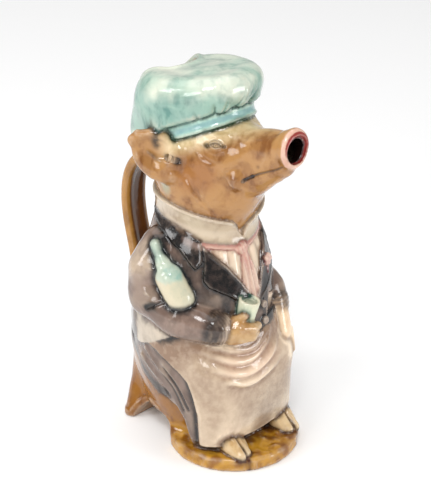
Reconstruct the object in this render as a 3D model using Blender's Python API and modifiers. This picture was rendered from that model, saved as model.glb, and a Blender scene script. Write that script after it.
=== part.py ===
"""Majolica water jug in the shape of a seated pig waiter.

The jug is one hollow casting: the figure, its seat and round ground, the bottle
and glass it holds and the strap handle down its back. Water goes in through an
oval opening in the back of the cap and out through the snout. The figure faces
-Y and stands on Z = 0, with the middle of its round ground at the origin.

The forms are given in figure units, as a modeller lays on clay: each form says
how far a point is from it, and soft unions join them. The figure is FIGURE_UNITS
tall. A coarse block of balls, cones and lofts is remeshed, and its points settle
on the forms.
"""

import math

import bmesh
import bpy
import numpy as np
from mathutils import Matrix, Vector

# Driving dimensions in metres
JUG_HEIGHT = 0.2388         # from the underside to the top of the cap
WALL = 0.0045               # thickness of the cast wall
FLOOR = 0.0110              # from the underside up to the inside's floor
STRAP_WIDTH = 0.0170        # handle, edge to edge
STRAP_THICKNESS = 0.0056    # handle, between its raised edges
SPOUT_BORE = 0.0142         # opening in the snout
SPOUT_LIP = 0.0033          # rim around that opening
FILL_WIDTH = 0.036          # filling opening in the cap, across
FILL_LENGTH = 0.030         # filling opening in the cap, down the slope
BASE_RADIUS = 0.0400        # round ground under the feet
BASE_THICKNESS = 0.0080     # its height at the edge
CLOTH = 0.0022              # how far lapels and apron stand proud
COARSE_VOXEL = 0.0028       # first remesh of the coarse block
FINE_VOXEL = 0.0015         # second remesh, which the carving is settled on
TRIANGLES = 9600            # of the finished solid

FIGURE_UNITS = 238.8        # the same height in the units that the forms are given in
UNIT = JUG_HEIGHT / FIGURE_UNITS
wall = WALL / UNIT
cloth = CLOTH / UNIT
EDGE = 2.4                  # softness of a carved edge, in figure units
SEAM = 1.6                  # fillet where two forms meet, in figure units


# Clay tools

def turned(degrees):
    """Rotation matrix for turns about X, then Y, then Z."""
    x, y, z = (math.radians(d) for d in degrees)
    about_x = np.array([[1, 0, 0], [0, math.cos(x), -math.sin(x)], [0, math.sin(x), math.cos(x)]])
    about_y = np.array([[math.cos(y), 0, math.sin(y)], [0, 1, 0], [-math.sin(y), 0, math.cos(y)]])
    about_z = np.array([[math.cos(z), -math.sin(z), 0], [math.sin(z), math.cos(z), 0], [0, 0, 1]])
    return about_z @ about_y @ about_x


def local(p, centre, turn=(0, 0, 0)):
    """The points as seen from a centre and a turned set of axes."""
    return (p - np.array(centre, float)) @ turned(turn)


def ball(p, centre, radii, turn=(0, 0, 0)):
    """Distance to a ball with three radii."""
    q = local(p, centre, turn)
    r = np.array(radii, float)
    reach = np.linalg.norm(q / r, axis=1)
    slope = np.linalg.norm(q / (r * r), axis=1)
    return reach * (reach - 1) / np.maximum(slope, 1e-9)


def limb(p, joints, radii):
    """Distance to a rounded limb whose thickness runs from joint to joint."""
    pts = np.array(joints, float)
    best = np.full(len(p), FAR)
    for a, b, start, end in zip(pts[:-1], pts[1:], radii[:-1], radii[1:]):
        along = b - a
        t = np.clip((p - a) @ along / (along @ along), 0, 1)
        d = np.linalg.norm(p - a - t[:, None] * along, axis=1) - (start + (end - start) * t)
        best = np.minimum(best, d)
    return best


def blend(a, b, k):
    """The union of two forms with a fillet about k wide."""
    h = np.maximum(k - np.abs(a - b), 0) / k
    return np.minimum(a, b) - h * h * k * 0.25


def cut(a, b, k):
    """The first form with the second taken out of it."""
    return -blend(-a, b, k)


def both(a, b, k):
    """Only what lies in both forms."""
    return -blend(-a, -b, k)


def step(low, high, v):
    """0 below low, 1 above high, with a soft rise between."""
    t = np.clip((v - low) / (high - low), 0, 1)
    return t * t * (3 - 2 * t)


def ridge(d, width):
    """A rounded ridge, 1 on the line and 0 away from it."""
    return np.exp(-(d / width)**2)


def curve(keys, v):
    """Smooth values between keys, each a place followed by its values."""
    table = np.array(keys, float)
    x = table[:, 0]
    i = np.clip(np.searchsorted(x, v) - 1, 0, len(x) - 2)
    h = x[i + 1] - x[i]
    t = np.clip((v - x[i]) / h, 0, 1)
    out = []
    for column in table[:, 1:].T:
        slope = np.gradient(column, x)
        start = (2 * t**3 - 3 * t**2 + 1) * column[i] + (t**3 - 2 * t**2 + t) * h * slope[i]
        end = (3 * t**2 - 2 * t**3) * column[i + 1] + (t**3 - t**2) * h * slope[i + 1]
        out.append(start + end)
    return out


def smooth_line(points, parts=5):
    """A rounder line through the same points."""
    pts = np.array(points, float)
    place = np.arange(len(pts))
    fine = np.linspace(0, len(pts) - 1, (len(pts) - 1) * parts + 1)
    return [tuple(v) for v in np.array(curve(np.column_stack([place, pts]), fine)).T]


def oval_stack(p, keys, power=2.0, soft=4.0):
    """A solid with oval level sections; keys hold height, middle y, half width, half depth."""
    z = p[:, 2]
    middle, wide, deep = curve(keys, z)
    x, y = p[:, 0], p[:, 1] - middle
    reach = ((np.abs(x) / wide)**power + (np.abs(y) / deep)**power)**(1 / power)
    side = np.hypot(x, y) * (1 - 1 / np.maximum(reach, 1e-6))
    side = np.where(reach < 1e-3, -np.minimum(wide, deep), side)
    return both(side, np.maximum(keys[0][0] - z, z - keys[-1][0]), soft)


def line_distance(u, v, points):
    """Distance in a plane to an open line."""
    best = np.full(len(u), FAR)
    for (ax, ay), (bx, by) in zip(points[:-1], points[1:]):
        dx, dy = bx - ax, by - ay
        t = np.clip(((u - ax) * dx + (v - ay) * dy) / (dx * dx + dy * dy), 0, 1)
        best = np.minimum(best, np.hypot(u - ax - t * dx, v - ay - t * dy))
    return best


def within(u, v, outline):
    """Depth inside a closed outline in a plane, negative outside it."""
    inside = np.zeros(len(u), bool)
    closed = list(outline) + [outline[0]]
    for (ax, ay), (bx, by) in zip(closed[:-1], closed[1:]):
        if ay != by:
            crosses = (ay > v) != (by > v)
            inside ^= crosses & (u < ax + (v - ay) * (bx - ax) / (by - ay))
    d = line_distance(u, v, closed)
    return np.where(inside, d, -d)


def near_only(form):
    """Work a small form out only near it, given the box that holds it."""
    def bounded(low, high):
        def distance(p):
            d = np.full(len(p), FAR)
            near = np.all((p > np.array(low)) & (p < np.array(high)), axis=1)
            if near.any():
                d[near] = form(p[near])
            return d
        return distance
    return bounded


def mirrored(p):
    """The points folded onto the left side, so that a form stands on both sides."""
    q = p.copy()
    q[:, 0] = np.abs(q[:, 0])
    return q


def around(p):
    """Degrees from straight ahead, alike on both sides."""
    return np.degrees(np.arctan2(np.abs(p[:, 0]), AXIS_Y - p[:, 1]))


def side_on(p):
    """Degrees from straight ahead, minus on the figure's right."""
    return np.degrees(np.arctan2(p[:, 0], AXIS_Y - p[:, 1]))


def on_cloth(points):
    """An outline given in degrees and height, in units along the cloth."""
    return [(a * GIRTH, z) for a, z in points]


def level(points, v):
    """The straight-line height at a place between points."""
    return np.interp(v, [a for a, _ in points], [b for _, b in points])


def laid(points, form):
    """A line's points moved onto the skin of a form."""
    pts = np.array(smooth_line(points), float)
    for _ in range(4):
        d, slope = distance_and_slope(form, pts)
        pts = pts - slope * d[:, None]
    return pts


def trace_distance(p, line, reach=7.0):
    """Distance to a line through space, worked out only near it."""
    d = np.full(len(p), FAR)
    near = np.all((p > line.min(axis=0) - reach) & (p < line.max(axis=0) + reach), axis=1)
    if near.any():
        d[near] = limb(p[near], line, [0.0] * len(line))
    return d


def distance_and_slope(form, p, reach=0.3):
    """A form's distance at the points and the direction in which it grows."""
    corners = np.array([[1, -1, -1], [-1, -1, 1], [-1, 1, -1], [1, 1, 1]], float)
    parts = [form(p + corner * reach) for corner in corners]
    slope = sum(corner * part[:, None] for corner, part in zip(corners, parts)) / (4 * reach)
    length = np.maximum(np.linalg.norm(slope, axis=1), 0.2)
    return sum(parts) / 4 / length, slope / length[:, None]


FAR = 60.0             # stands for any distance that is too great to matter
SPARE = 6.0            # depth of the clay below the underside, which is cut off level at the end
AXIS_Y = 18.0          # the upright axis that the clothes are laid out around
CREASE = 0.45          # how far around a point its form is felt while it settles
GIRTH = 0.66           # units along the cloth for each degree around that axis


# Head

NOSE = (0, -51.0, 206.5)
NOSE_TURN = (-2.5, 0, 0)
NOSE_RADIUS = (SPOUT_BORE / 2 + SPOUT_LIP) / UNIT
LIP_ROLL = SPOUT_LIP / UNIT * 0.55
SPOUT = [(0, -30, 199), (0, -43, 202.5), (0, -58, 206)]


SKULL = ((0, 20, 180), (29, 33, 28))
JOWLS = ((0, 8, 167), (28, 29, 22))
BROW = ((0, 2, 192), (22, 25, 19))
NECK = ((0, 16, 152), (25, 27, 22))
SNOUT_TOP = ([(0, 0, 189), (0, -24, 198), (0, -50, 205.8)], [18, 12.2, 9.2])
JAW = ([(0, 4, 172), (0, -22, 182), (0, -42, 194)], [18, 12.3, 8.4])


def head_mass(p):
    d = blend(ball(p, *SKULL), ball(p, *JOWLS), 14)
    d = blend(d, ball(p, *BROW), 12)
    return blend(d, ball(p, *NECK), 12)


def snout(p):
    return blend(limb(p, *SNOUT_TOP), limb(p, *JAW), 8)


def lip(p):
    """The rolled rim around the snout's opening."""
    q = local(p, NOSE, NOSE_TURN)
    r = np.hypot(q[:, 0], q[:, 2])
    return np.hypot(r - NOSE_RADIUS + LIP_ROLL, q[:, 1]) - LIP_ROLL


def nose(p):
    q = local(p, NOSE, NOSE_TURN)
    r = np.hypot(q[:, 0], q[:, 2])
    flare = both(r - NOSE_RADIUS + 1.4, np.abs(q[:, 1] - 1.8) - 2.0, 2.5)
    return blend(flare, lip(p), 1.2)


EAR_TOP = [(25, 10, 193), (29, 14.5, 195.5), (32.5, 18.5, 201), (37, 24, 203.5), (41.5, 29.5, 203.5),
           (43, 32, 199.5)]
EAR_LOW = [(43, 32, 199.5), (41.3, 30, 192), (38.5, 26.5, 184.5), (35.5, 23, 179.5), (31, 17.5, 178)]
EAR_TURN = (0, 0, 51)
EAR_BOX = ((12, -5, 162), (56, 50, 218))


def left_ear(p):
    rolled = limb(p, EAR_TOP, [3.6, 3.4, 3.2, 3.0, 2.7, 2.4])
    lower = limb(p, EAR_LOW, [2.4, 2.4, 2.5, 3.0, 4.2])
    flap = ball(p, (35.5, 22.5, 191.5), (12, 3.4, 14), EAR_TURN)
    d = blend(blend(rolled, lower, 3), flap, 3)
    d = blend(d, ball(p, (25, 19, 185), (9, 11, 13)), 6)
    return cut(d, ball(p, (40.3, 19.2, 194), (9.5, 5.6, 9.5), EAR_TURN), 3)


def ears(p):
    return near_only(left_ear)(*EAR_BOX)(mirrored(p))


EYE = (18.3, -9.6, 200.6)
EYE_TURN = (0, -29, -26)
MOUTH = [(14, -23, 181), (12.3, -28, 184), (10.5, -34, 188), (8.5, -42, 192), (7, -50, 196)]


BAND_MIDDLE = (0, 19, 198)
BAND_TURN = (-24, 0, 0)
BAND_TOP = 8.0


def band_ring(q):
    """Distance to the band's upright oval, in the band's own axes."""
    return (np.hypot(q[:, 0] / 29.5, q[:, 1] / 35.5) - 1) * 31


def forehead(p):
    """The brow where it meets the cap's band."""
    q = local(p, BAND_MIDDLE, BAND_TURN)
    return both(band_ring(q) + 2.2, np.abs(q[:, 2] + 3) - 4, 3)


def bare_head(p):
    return blend(blend(blend(head_mass(p), snout(p), 10), forehead(p), 4), nose(p), 5)


def eye_relief(p):
    """The eyeball between its lids, seen in the eye's own plane."""
    q = local(mirrored(p), EYE, EYE_TURN)
    along, up = q[:, 1], q[:, 2]
    near = np.hypot(along, up)
    lids = 2.4 * (1 - (along / 5.0)**2)
    upper = ridge(up - lids, 0.9) * step(5.6, 4.0, np.abs(along))
    lower = ridge(up + 0.8 * lids, 0.9) * step(5.6, 4.0, np.abs(along))
    ball_height = 0.9 * step(3.0, 0.5, near)
    return (1.0 * np.maximum(upper, lower) + ball_height) * step(8, 5.5, near) * step(9, 5, np.abs(q[:, 0]))


MOUTH_LINE = laid(MOUTH, bare_head)


def skin(p):
    m = mirrored(p)
    d = blend(bare_head(p), ears(p), 3)
    d = blend(d, ball(m, (13.2, -20.5, 181.5), (4.0, 3.6, 4.6)), 4.5)
    return d + 1.5 * ridge(trace_distance(m, MOUTH_LINE), 0.9) - eye_relief(p)


# Cap

CAP_MIDDLE = (0, 23, 211)
CAP_TILT = (-11, 0, 0)
CAP_RIM = [(26 * math.sin(math.radians(a)), 20 - 28 * math.cos(math.radians(a)),
            227 + 3.5 * math.cos(math.radians(a))) for a in range(-135, 136, 15)]
CAP_RIM_ROLL = 8.0
CAP_BACK = ((0, 44, 191), (26, 21, 24))
BACK_SLOPE = np.array([0, 0.72, 0.69])
FILL_MIDDLE = (0, 46.5, 228.5)
FILL_TURN = (-37, 0, 0)


def cap_mass(p):
    q = local(p, CAP_MIDDLE, CAP_TILT)
    reach = (np.hypot(q[:, 0] / 36, q[:, 1] / 37)**3.2 + np.abs(q[:, 2] / 24.5)**3.2)**(1 / 3.2)
    d = (reach - 1) * 26
    d = blend(d, limb(p, CAP_RIM, [CAP_RIM_ROLL] * len(CAP_RIM)), 6)
    d = blend(d, ball(p, *CAP_BACK), 12)
    return both(d, p @ BACK_SLOPE - 198.5, 10)


def fill_shape(p, grow=0.0):
    q = local(p, FILL_MIDDLE, FILL_TURN)
    wide = FILL_WIDTH / UNIT / 2 + grow
    deep = FILL_LENGTH / UNIT / 2 + grow
    side = (np.hypot(q[:, 0] / wide, q[:, 1] / deep) - 1) * min(wide, deep)
    return both(side, np.abs(q[:, 2] - 2) - 18, 1)


def crown(p):
    """The soft crown, which ends at the band in front and hangs lower behind."""
    q = local(p, BAND_MIDDLE, BAND_TURN)
    return both(cap_mass(p), BAND_TOP - q[:, 2] - 60 * step(17, 31, p[:, 1]), 3)


def cap(p):
    """The crown with its pleats above the band and a roll around the filling opening."""
    height = local(p, BAND_MIDDLE, BAND_TURN)[:, 2]
    turn = side_on(p)
    pleats = np.cos(np.radians(turn) * 15) * step(50, 30, np.abs(turn))
    pleats = pleats * step(BAND_TOP + 14, BAND_TOP, height)
    d = crown(p)
    roll = both(fill_shape(p, 3.0), d - 0.9, 1.5)
    return blend(d - 0.6 * pleats, roll, 2)


def band(p):
    q = local(p, BAND_MIDDLE, BAND_TURN)
    height = np.abs(q[:, 2] - BAND_TOP / 2) - BAND_TOP / 2
    return both(both(band_ring(q), height, 2.5), p[:, 1] - 22, 2.0)


# Coat, shirt and collar

TORSO = [(30, 20, 34.5, 45), (44, 22, 38, 46), (60, 20, 41, 46), (80, 18, 43, 46), (100, 18, 41, 42),
         (120, 18, 37.5, 37), (138, 18, 32, 31), (154, 20, 24, 26)]
V_EDGE = [(0, 100), (13, 114), (24, 123), (48, 139), (78, 147), (93, 149), (135, 152), (185, 153)]
UPPER_LAPEL = [(48, 139), (46.5, 134), (47, 129), (53, 125), (62, 131), (70, 135.5), (95, 143.5),
               (140, 149), (180, 150.5), (180, 156), (93, 152), (78, 150), (48, 141)]
LOWER_LAPEL = [(0, 99), (16, 105), (27, 110), (41, 115), (46, 119), (45.5, 127), (45.5, 133.5), (48, 139.5),
               (24, 126), (13, 117), (0, 103)]
COAT_HEM = [(-180, 68), (-140, 66), (-110, 67), (-95, 72), (-60, 88), (0, 84), (8, 86), (20, 101), (60, 92),
            (95, 72), (110, 67), (140, 66), (180, 68)]
TAPE = [(0, 134.5), (15, 136.0), (57, 140.5), (75, 144)]
COLLAR_TOP = [(0, 140), (3, 142), (9, 148), (17, 152.5), (26, 154.5), (42, 157), (66, 160), (90, 162),
              (180, 163)]
COLLAR_LOW = [(0, 136.5), (15, 137.5), (57, 141.5), (75, 145), (88, 149), (123, 151), (180, 152)]
TIE = [(-2.5, 133), (1.0, 133), (5.0, 118), (3.5, 108), (0, 100), (-3.5, 105), (-6.5, 114), (-5.0, 124)]
FLOWER = ((16.5, -18.0, 121), (4.4, 3.0, 4.4))
BUTTONS = [((6, -24.5, 97.5), (2.8, 2.6, 2.8)), ((5, -27, 88), (2.8, 2.6, 2.8))]
RIGHT_SHOULDER = [(-29, 24, 131), (-35, 26, 118), (-37, 24, 103)]
RIGHT_FOREARM = [(-37, 24, 103), (-36, 2, 95), (-27, -16, 91)]
LEFT_SHOULDER = [(27, 25, 132), (30, 23, 116), (31, 13, 102)]
LEFT_FOREARM = [(31, 13, 102), (28.5, -9, 95.5)]


def torso(p):
    return oval_stack(p, TORSO)


def right_arm(p):
    return blend(limb(p, RIGHT_SHOULDER, [13, 15, 14]), limb(p, RIGHT_FOREARM, [14, 13, 10.5]), 4)


def left_arm(p):
    return blend(limb(p, LEFT_SHOULDER, [12, 12.5, 11.5]), limb(p, LEFT_FOREARM, [11.5, 9.2]), 4)


def coat(p):
    opening = p[:, 2] - level(V_EDGE, around(p))
    tail = level(COAT_HEM, side_on(p)) - p[:, 2]
    body = both(torso(p) - 0.6, np.maximum(opening, tail), EDGE / 2)
    return blend(blend(body, right_arm(p), 3.5), left_arm(p), 3.5)


def lapels(p):
    u, z = around(p) * GIRTH, p[:, 2]
    flap = np.maximum(within(u, z, on_cloth(UPPER_LAPEL)), within(u, z, on_cloth(LOWER_LAPEL)))
    return both(torso(p) - cloth, -flap, EDGE)


def shirt(p):
    return both(torso(p) + 0.6, np.maximum(around(p) - 100, 96 - p[:, 2]), EDGE)


def collar(p):
    a, z = around(p), p[:, 2]
    edges = np.maximum(z - level(COLLAR_TOP, a), level(COLLAR_LOW, a) - z)
    return both(blend(head_mass(p), torso(p), 4) - cloth, edges, EDGE)


def tie(p):
    a, z = side_on(p), p[:, 2]
    strip = np.maximum(np.abs(z - level(TAPE, np.abs(a))) - 2.2, np.abs(a) - 70)
    tape = both(torso(p) - 1.2, strip, 2)
    knot = ball(p, (-2.0, -13.5, 134), (4.6, 4.2, 4.8))
    tail = both(torso(p) - 1.5, -within(a * GIRTH, z, TIE), 2)
    return blend(blend(tape, knot, 1.5), tail, 1.0)


def flower(p):
    """The bloom at the left lapel, as one low knob."""
    return ball(p, *FLOWER)


def buttons(p):
    return np.minimum(ball(p, *BUTTONS[0]), ball(p, *BUTTONS[1]))


# Bottle, glass and hands

BOTTLE = [(-39, 19, 137), (-39, 16, 131), (-39.5, 12.5, 126.5), (-39, 7.5, 119.5), (-37.5, 0.5, 108.5)]
RIGHT_CUFF = [(-26.5, -16.5, 91), (-25, -18.5, 90.6)]
LEFT_CUFF = [(28.3, -10.5, 94), (28, -12.5, 92.5)]


def bottle(p):
    return limb(p, BOTTLE, [3.6, 3.8, 4.8, 8.6, 9.0])


def glass(p):
    q = local(p, (-9.5, -26.0, 98.0), (12, 6, 0))
    r = np.hypot(q[:, 0], q[:, 1])
    return both(r - 6.0 - 0.05 * q[:, 2], np.abs(q[:, 2]) - 9.5, 1.5)


def cuffs(p):
    return np.minimum(limb(p, RIGHT_CUFF, [10.4, 9.8]), limb(p, LEFT_CUFF, [8.9, 8.8]))


def right_hand(p):
    d = ball(p, (-17.5, -24, 88.5), (10.5, 9.0, 8.8), (0, 0, -20))
    d = blend(d, limb(p, [(-18, -30.5, 92), (-10.5, -33, 90.5), (-5, -31, 89.5)], [3.4, 3.2, 2.6]), 2)
    d = blend(d, limb(p, [(-18, -30, 86), (-11, -32.5, 85), (-6, -30.5, 85)], [3.2, 3.0, 2.4]), 2)
    return blend(d, limb(p, [(-18, -26, 95), (-14.5, -29.5, 99)], [3.2, 2.4]), 2)


def left_hand(p):
    d = limb(p, [(27.5, -14, 88), (25, -20, 71)], [7.4, 7.8])
    for i in range(4):
        x = 18.8 + 3.8 * i
        d = blend(d, limb(p, [(x + 1, -23.5, 70), (x, -27, 58)], [2.6, 2.2]), 1.6)
    return d


# Apron, trousers and shoes

LEGS = [(5, 2, 32, 22), (14, 1, 36, 27), (30, 0, 38, 30), (50, 4, 39, 34), (64, 10, 40, 40),
        (76, 16, 40, 43), (88, 18, 38, 41)]
APRON_EDGE = [(8, 49), (14, 49), (35, 50), (48, 54), (56, 58), (61, 67), (65, 78), (69, 89), (72, 104),
              (75, 125)]
APRON_HEM = [(0, 14), (5, 14), (13, 16), (20, 15.5), (27, 14), (36, 12.5), (49, 13), (60, 13)]
SEAT_LINE = [(0, 4), (45, 7), (50, 10), (55, 14), (58, 22), (62, 31), (70, 37), (87, 38), (102, 40),
             (117, 47), (124, 57), (140, 66), (180, 71)]
LAP_FOLDS = [[(-36, 78), (-24, 71), (-9, 69), (5, 75), (9, 80)],
             [(-36, 69), (-22, 63), (-7, 61), (8, 66), (16, 74)],
             [(-26, 59), (-16, 54.5), (-5, 53.5), (10, 58), (18, 64)]]
LEG_FOLDS = [[(41, 27, 66), (40, 18, 57), (38, 6, 48), (36, -2, 36)],
             [(40, 33, 58), (38, 22, 49), (35, 10, 40)],
             [(40, 12, 60), (38, 2, 50), (36, -6, 38)]]


def legs(p):
    d = oval_stack(p, LEGS, 2.3)
    m = mirrored(p)
    thigh = limb(m, [(17, 12, 66), (20, -12, 56)], [19, 14])
    shin = limb(m, [(20, -12, 56), (21, -10, 16)], [13, 13])
    return blend(blend(d, thigh, 8), shin, 10)


def lap(p):
    """The knees and lap under the apron, with the folds that sag between them."""
    d = legs(p)
    front = step(10, -6, p[:, 1]) * step(30, 12, np.abs(p[:, 0] + 10))
    for fold in LAP_FOLDS:
        d = d - 1.1 * ridge(line_distance(p[:, 0], p[:, 2], fold), 2.4) * front
    return d


def apron(p):
    a, z = around(p), p[:, 2]
    edge = (a - level(APRON_EDGE, z)) * GIRTH
    flute = 0.9 * ridge(a - 30, 7) * step(46, 20, z)
    return both(lap(p) - cloth - flute, np.maximum(edge, level(APRON_HEM, a) - z), EDGE)


def trousers(p):
    d = blend(legs(p), both(torso(p) + 0.4, p[:, 2] - 90, 2), 4)
    m = mirrored(p)
    for fold in LEG_FOLDS:
        d = d - 1.2 * ridge(trace_distance(m, np.array(smooth_line(fold, 3))), 2.2)
    return both(d, level(SEAT_LINE, around(p)) - 4 - p[:, 2], 1)


def shoes(p):
    """Cloven toes that come out from under the apron."""
    m = mirrored(p)
    d = limb(m, [(22.5, -20, 17), (23, -36, 9)], [8.5, 4.2])
    d = blend(d, limb(m, [(18.5, -22, 15), (18.5, -35, 8.5)], [7, 3.8]), 2)
    cleft = ridge(m[:, 0] - 21.5, 0.9) * step(-26, -32, p[:, 1])
    return d + 1.6 * cleft


# Seat, ground and handle

BASE_Y = -7.5
SADDLE = [(-12, 20, 29, 37), (10, 20, 29.5, 38), (24, 20, 33, 43), (40, 22, 36, 46), (56, 24, 38, 46),
          (74, 23, 38, 45)]
REAR_FOOT = [(-12, 57, 30, 12), (7, 57, 30, 12.5), (14, 58, 26, 12), (24, 60, 18, 11), (36, 63, 12, 9),
             (44, 65, 10, 7)]
ARCH = (33.0, -4.0, 20.0)      # middle y, middle z and radius of the arch under the seat
STRAP = [(48, 166), (60, 169), (71.5, 165), (79, 153), (81.5, 138), (80, 122), (75.5, 103), (71.5, 82),
         (69, 60), (68, 32), (66, 8)]
STRAP_LINE = smooth_line(STRAP)


def ground(p):
    thick = BASE_THICKNESS / UNIT
    r = np.hypot(p[:, 0] + 0.5, p[:, 1] - BASE_Y)
    return both(r - BASE_RADIUS / UNIT, p[:, 2] - thick, 3.0)


def saddle(p):
    """The seat, which runs from the trousers down to the rim and back to the rear foot."""
    d = oval_stack(p, SADDLE)
    d = blend(d, ball(p, (0, 57, 32), (20, 10, 26)), 6)
    return both(d, p[:, 2] - level(SEAT_LINE, around(p)), 1.5)


def rear_foot(p):
    return oval_stack(p, REAR_FOOT, 2.0, 3.0)


def strap(p):
    """The handle, a flat strap with a raised bead along each edge."""
    half = STRAP_WIDTH / UNIT / 2
    thick = STRAP_THICKNESS / UNIT / 2
    bead = thick + 0.7
    off = line_distance(p[:, 1], p[:, 2], STRAP_LINE)
    d = both(off - thick, np.abs(p[:, 0]) - half, 2.5)
    d = blend(d, np.hypot(off, np.abs(p[:, 0]) - half + bead) - bead, 1.0)
    return blend(d, limb(p, [(0, 65, 60), (0, 68, 83)], [6, 4]), 3)


def under_arch(p):
    """Distance to the clear round under the seat, which runs from side to side."""
    y, z, radius = ARCH
    return np.hypot(p[:, 1] - y, p[:, 2] - z) - radius


def seat(p):
    d = blend(blend(saddle(p), ground(p), 8), rear_foot(p), 14)
    arch = under_arch(p)
    beaded = d - 1.0 * step(5.5, 3.5, np.minimum(p[:, 2], arch))
    return cut(beaded, arch, 3)


FORMS = [near_only(form)(low, high) for form, low, high in [
    (skin, (-70, -70, 132), (70, 70, 250)),
    (cap, (-60, -40, 160), (60, 85, 260)),
    (band, (-50, -40, 180), (50, 40, 236)),
    (coat, (-75, -50, 50), (75, 90, 172)),
    (lapels, (-60, -45, 90), (60, 70, 168)),
    (shirt, (-50, -45, 86), (50, 50, 165)),
    (collar, (-50, -40, 124), (50, 75, 175)),
    (tie, (-40, -30, 95), (40, 30, 150)),
    (apron, (-65, -60, 2), (65, 50, 90)),
    (trousers, (-65, -55, -2), (65, 90, 100)),
    (seat, (-65, -65, -20), (65, 90, 85)),
    (strap, (-25, 35, -20), (25, 100, 190)),
    (flower, (8, -28, 112), (25, -10, 130)),
    (buttons, (-2, -34, 80), (14, -18, 104)),
    (bottle, (-56, -18, 92), (-22, 32, 148)),
    (glass, (-22, -42, 82), (4, -12, 114)),
    (cuffs, (-44, -34, 74), (44, 8, 108)),
    (right_hand, (-34, -42, 74), (4, -8, 108)),
    (left_hand, (10, -36, 50), (42, 0, 102)),
    (shoes, (-36, -46, -4), (36, -4, 32)),
]]


def outside(p):
    """The whole figure, without its hollow."""
    d = FORMS[0](p)
    for form in FORMS[1:]:
        d = blend(d, form(p), SEAM)
    return both(d, -SPARE - p[:, 2], 1)


def inner_seat(p):
    """What both the legs and the seat enclose, so that the wall is whole under either."""
    return both(legs(p), oval_stack(p, SADDLE), 4)


def hollow(p):
    """The inside: the large masses one wall in, with the spout and the filling opening."""
    masses = blend(head_mass(p), snout(p), 10)
    for form in (crown, band, torso, inner_seat):
        masses = blend(masses, form(p), 2)
    inside = both(masses + wall, FLOOR / UNIT - p[:, 2], 4)
    inside = both(inside, wall - under_arch(p), 4)
    bore = SPOUT_BORE / UNIT / 2
    spout = limb(p, SPOUT, [bore * 0.8, bore * 0.8, bore])
    return blend(blend(inside, spout, 3), fill_shape(p), 2)


def jug(p):
    return cut(outside(p), hollow(p), 1.6)


# Coarse block

def placed(centre, turn, scale):
    """The matrix that scales, turns and moves a primitive of size one."""
    return Matrix.Translation(centre) @ Matrix(turned(turn).tolist()).to_4x4() @ Matrix.Diagonal((*scale, 1))


def add_ball(bm, centre, radii, turn=(0, 0, 0)):
    bmesh.ops.create_uvsphere(bm, u_segments=24, v_segments=12, radius=1, matrix=placed(centre, turn, radii))


def add_limb(bm, joints, radii):
    """A ball at each joint and a cone between each two."""
    for joint, radius in zip(joints, radii):
        add_ball(bm, joint, (radius, radius, radius))
    for a, b, start, end in zip(joints[:-1], joints[1:], radii[:-1], radii[1:]):
        along = Vector(b) - Vector(a)
        turn = along.to_track_quat("Z", "Y").to_matrix().to_4x4()
        place = Matrix.Translation((Vector(a) + Vector(b)) / 2) @ turn
        bmesh.ops.create_cone(bm, cap_ends=True, segments=20, radius1=start, radius2=end,
                              depth=along.length, matrix=place)


def add_box(bm, centre, size, turn=(0, 0, 0)):
    bmesh.ops.create_cube(bm, size=1, matrix=placed(centre, turn, size))


def add_drum(bm, centre, wide, deep, height, turn=(0, 0, 0)):
    bmesh.ops.create_cone(bm, cap_ends=True, segments=40, radius1=1, radius2=1, depth=height,
                          matrix=placed(centre, turn, (wide, deep, 1)))


def add_stack(bm, keys, inset=0.0):
    """A loft through the level ovals of a stack, drawn in by the inset."""
    rings = []
    low, high = keys[0][0] + inset, keys[-1][0] - inset
    for z, middle, wide, deep in keys:
        place = Matrix.Translation((0, middle, min(max(z, low), high)))
        place = place @ Matrix.Diagonal((wide - inset, deep - inset, 1, 1))
        made = bmesh.ops.create_circle(bm, segments=40, radius=1, matrix=place)
        rings.append(list({edge for vert in made["verts"] for edge in vert.link_edges}))
    for below, above in zip(rings[:-1], rings[1:]):
        bmesh.ops.bridge_loops(bm, edges=below + above)
    bmesh.ops.edgeloop_fill(bm, edges=rings[0])
    bmesh.ops.edgeloop_fill(bm, edges=rings[-1])


def block_body(bm, inset=0.0):
    """The large masses, each drawn in by the inset."""
    for centre, radii in (SKULL, JOWLS, BROW, NECK, CAP_BACK):
        add_ball(bm, centre, [r - inset for r in radii])
    for joints, radii in (SNOUT_TOP, JAW, (CAP_RIM, [CAP_RIM_ROLL] * len(CAP_RIM))):
        add_limb(bm, joints, [r - inset for r in radii])
    add_drum(bm, CAP_MIDDLE, 34 - inset, 34 - inset, 44 - 2 * inset, CAP_TILT)
    add_stack(bm, TORSO, inset)
    add_stack(bm, LEGS, inset)


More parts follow.
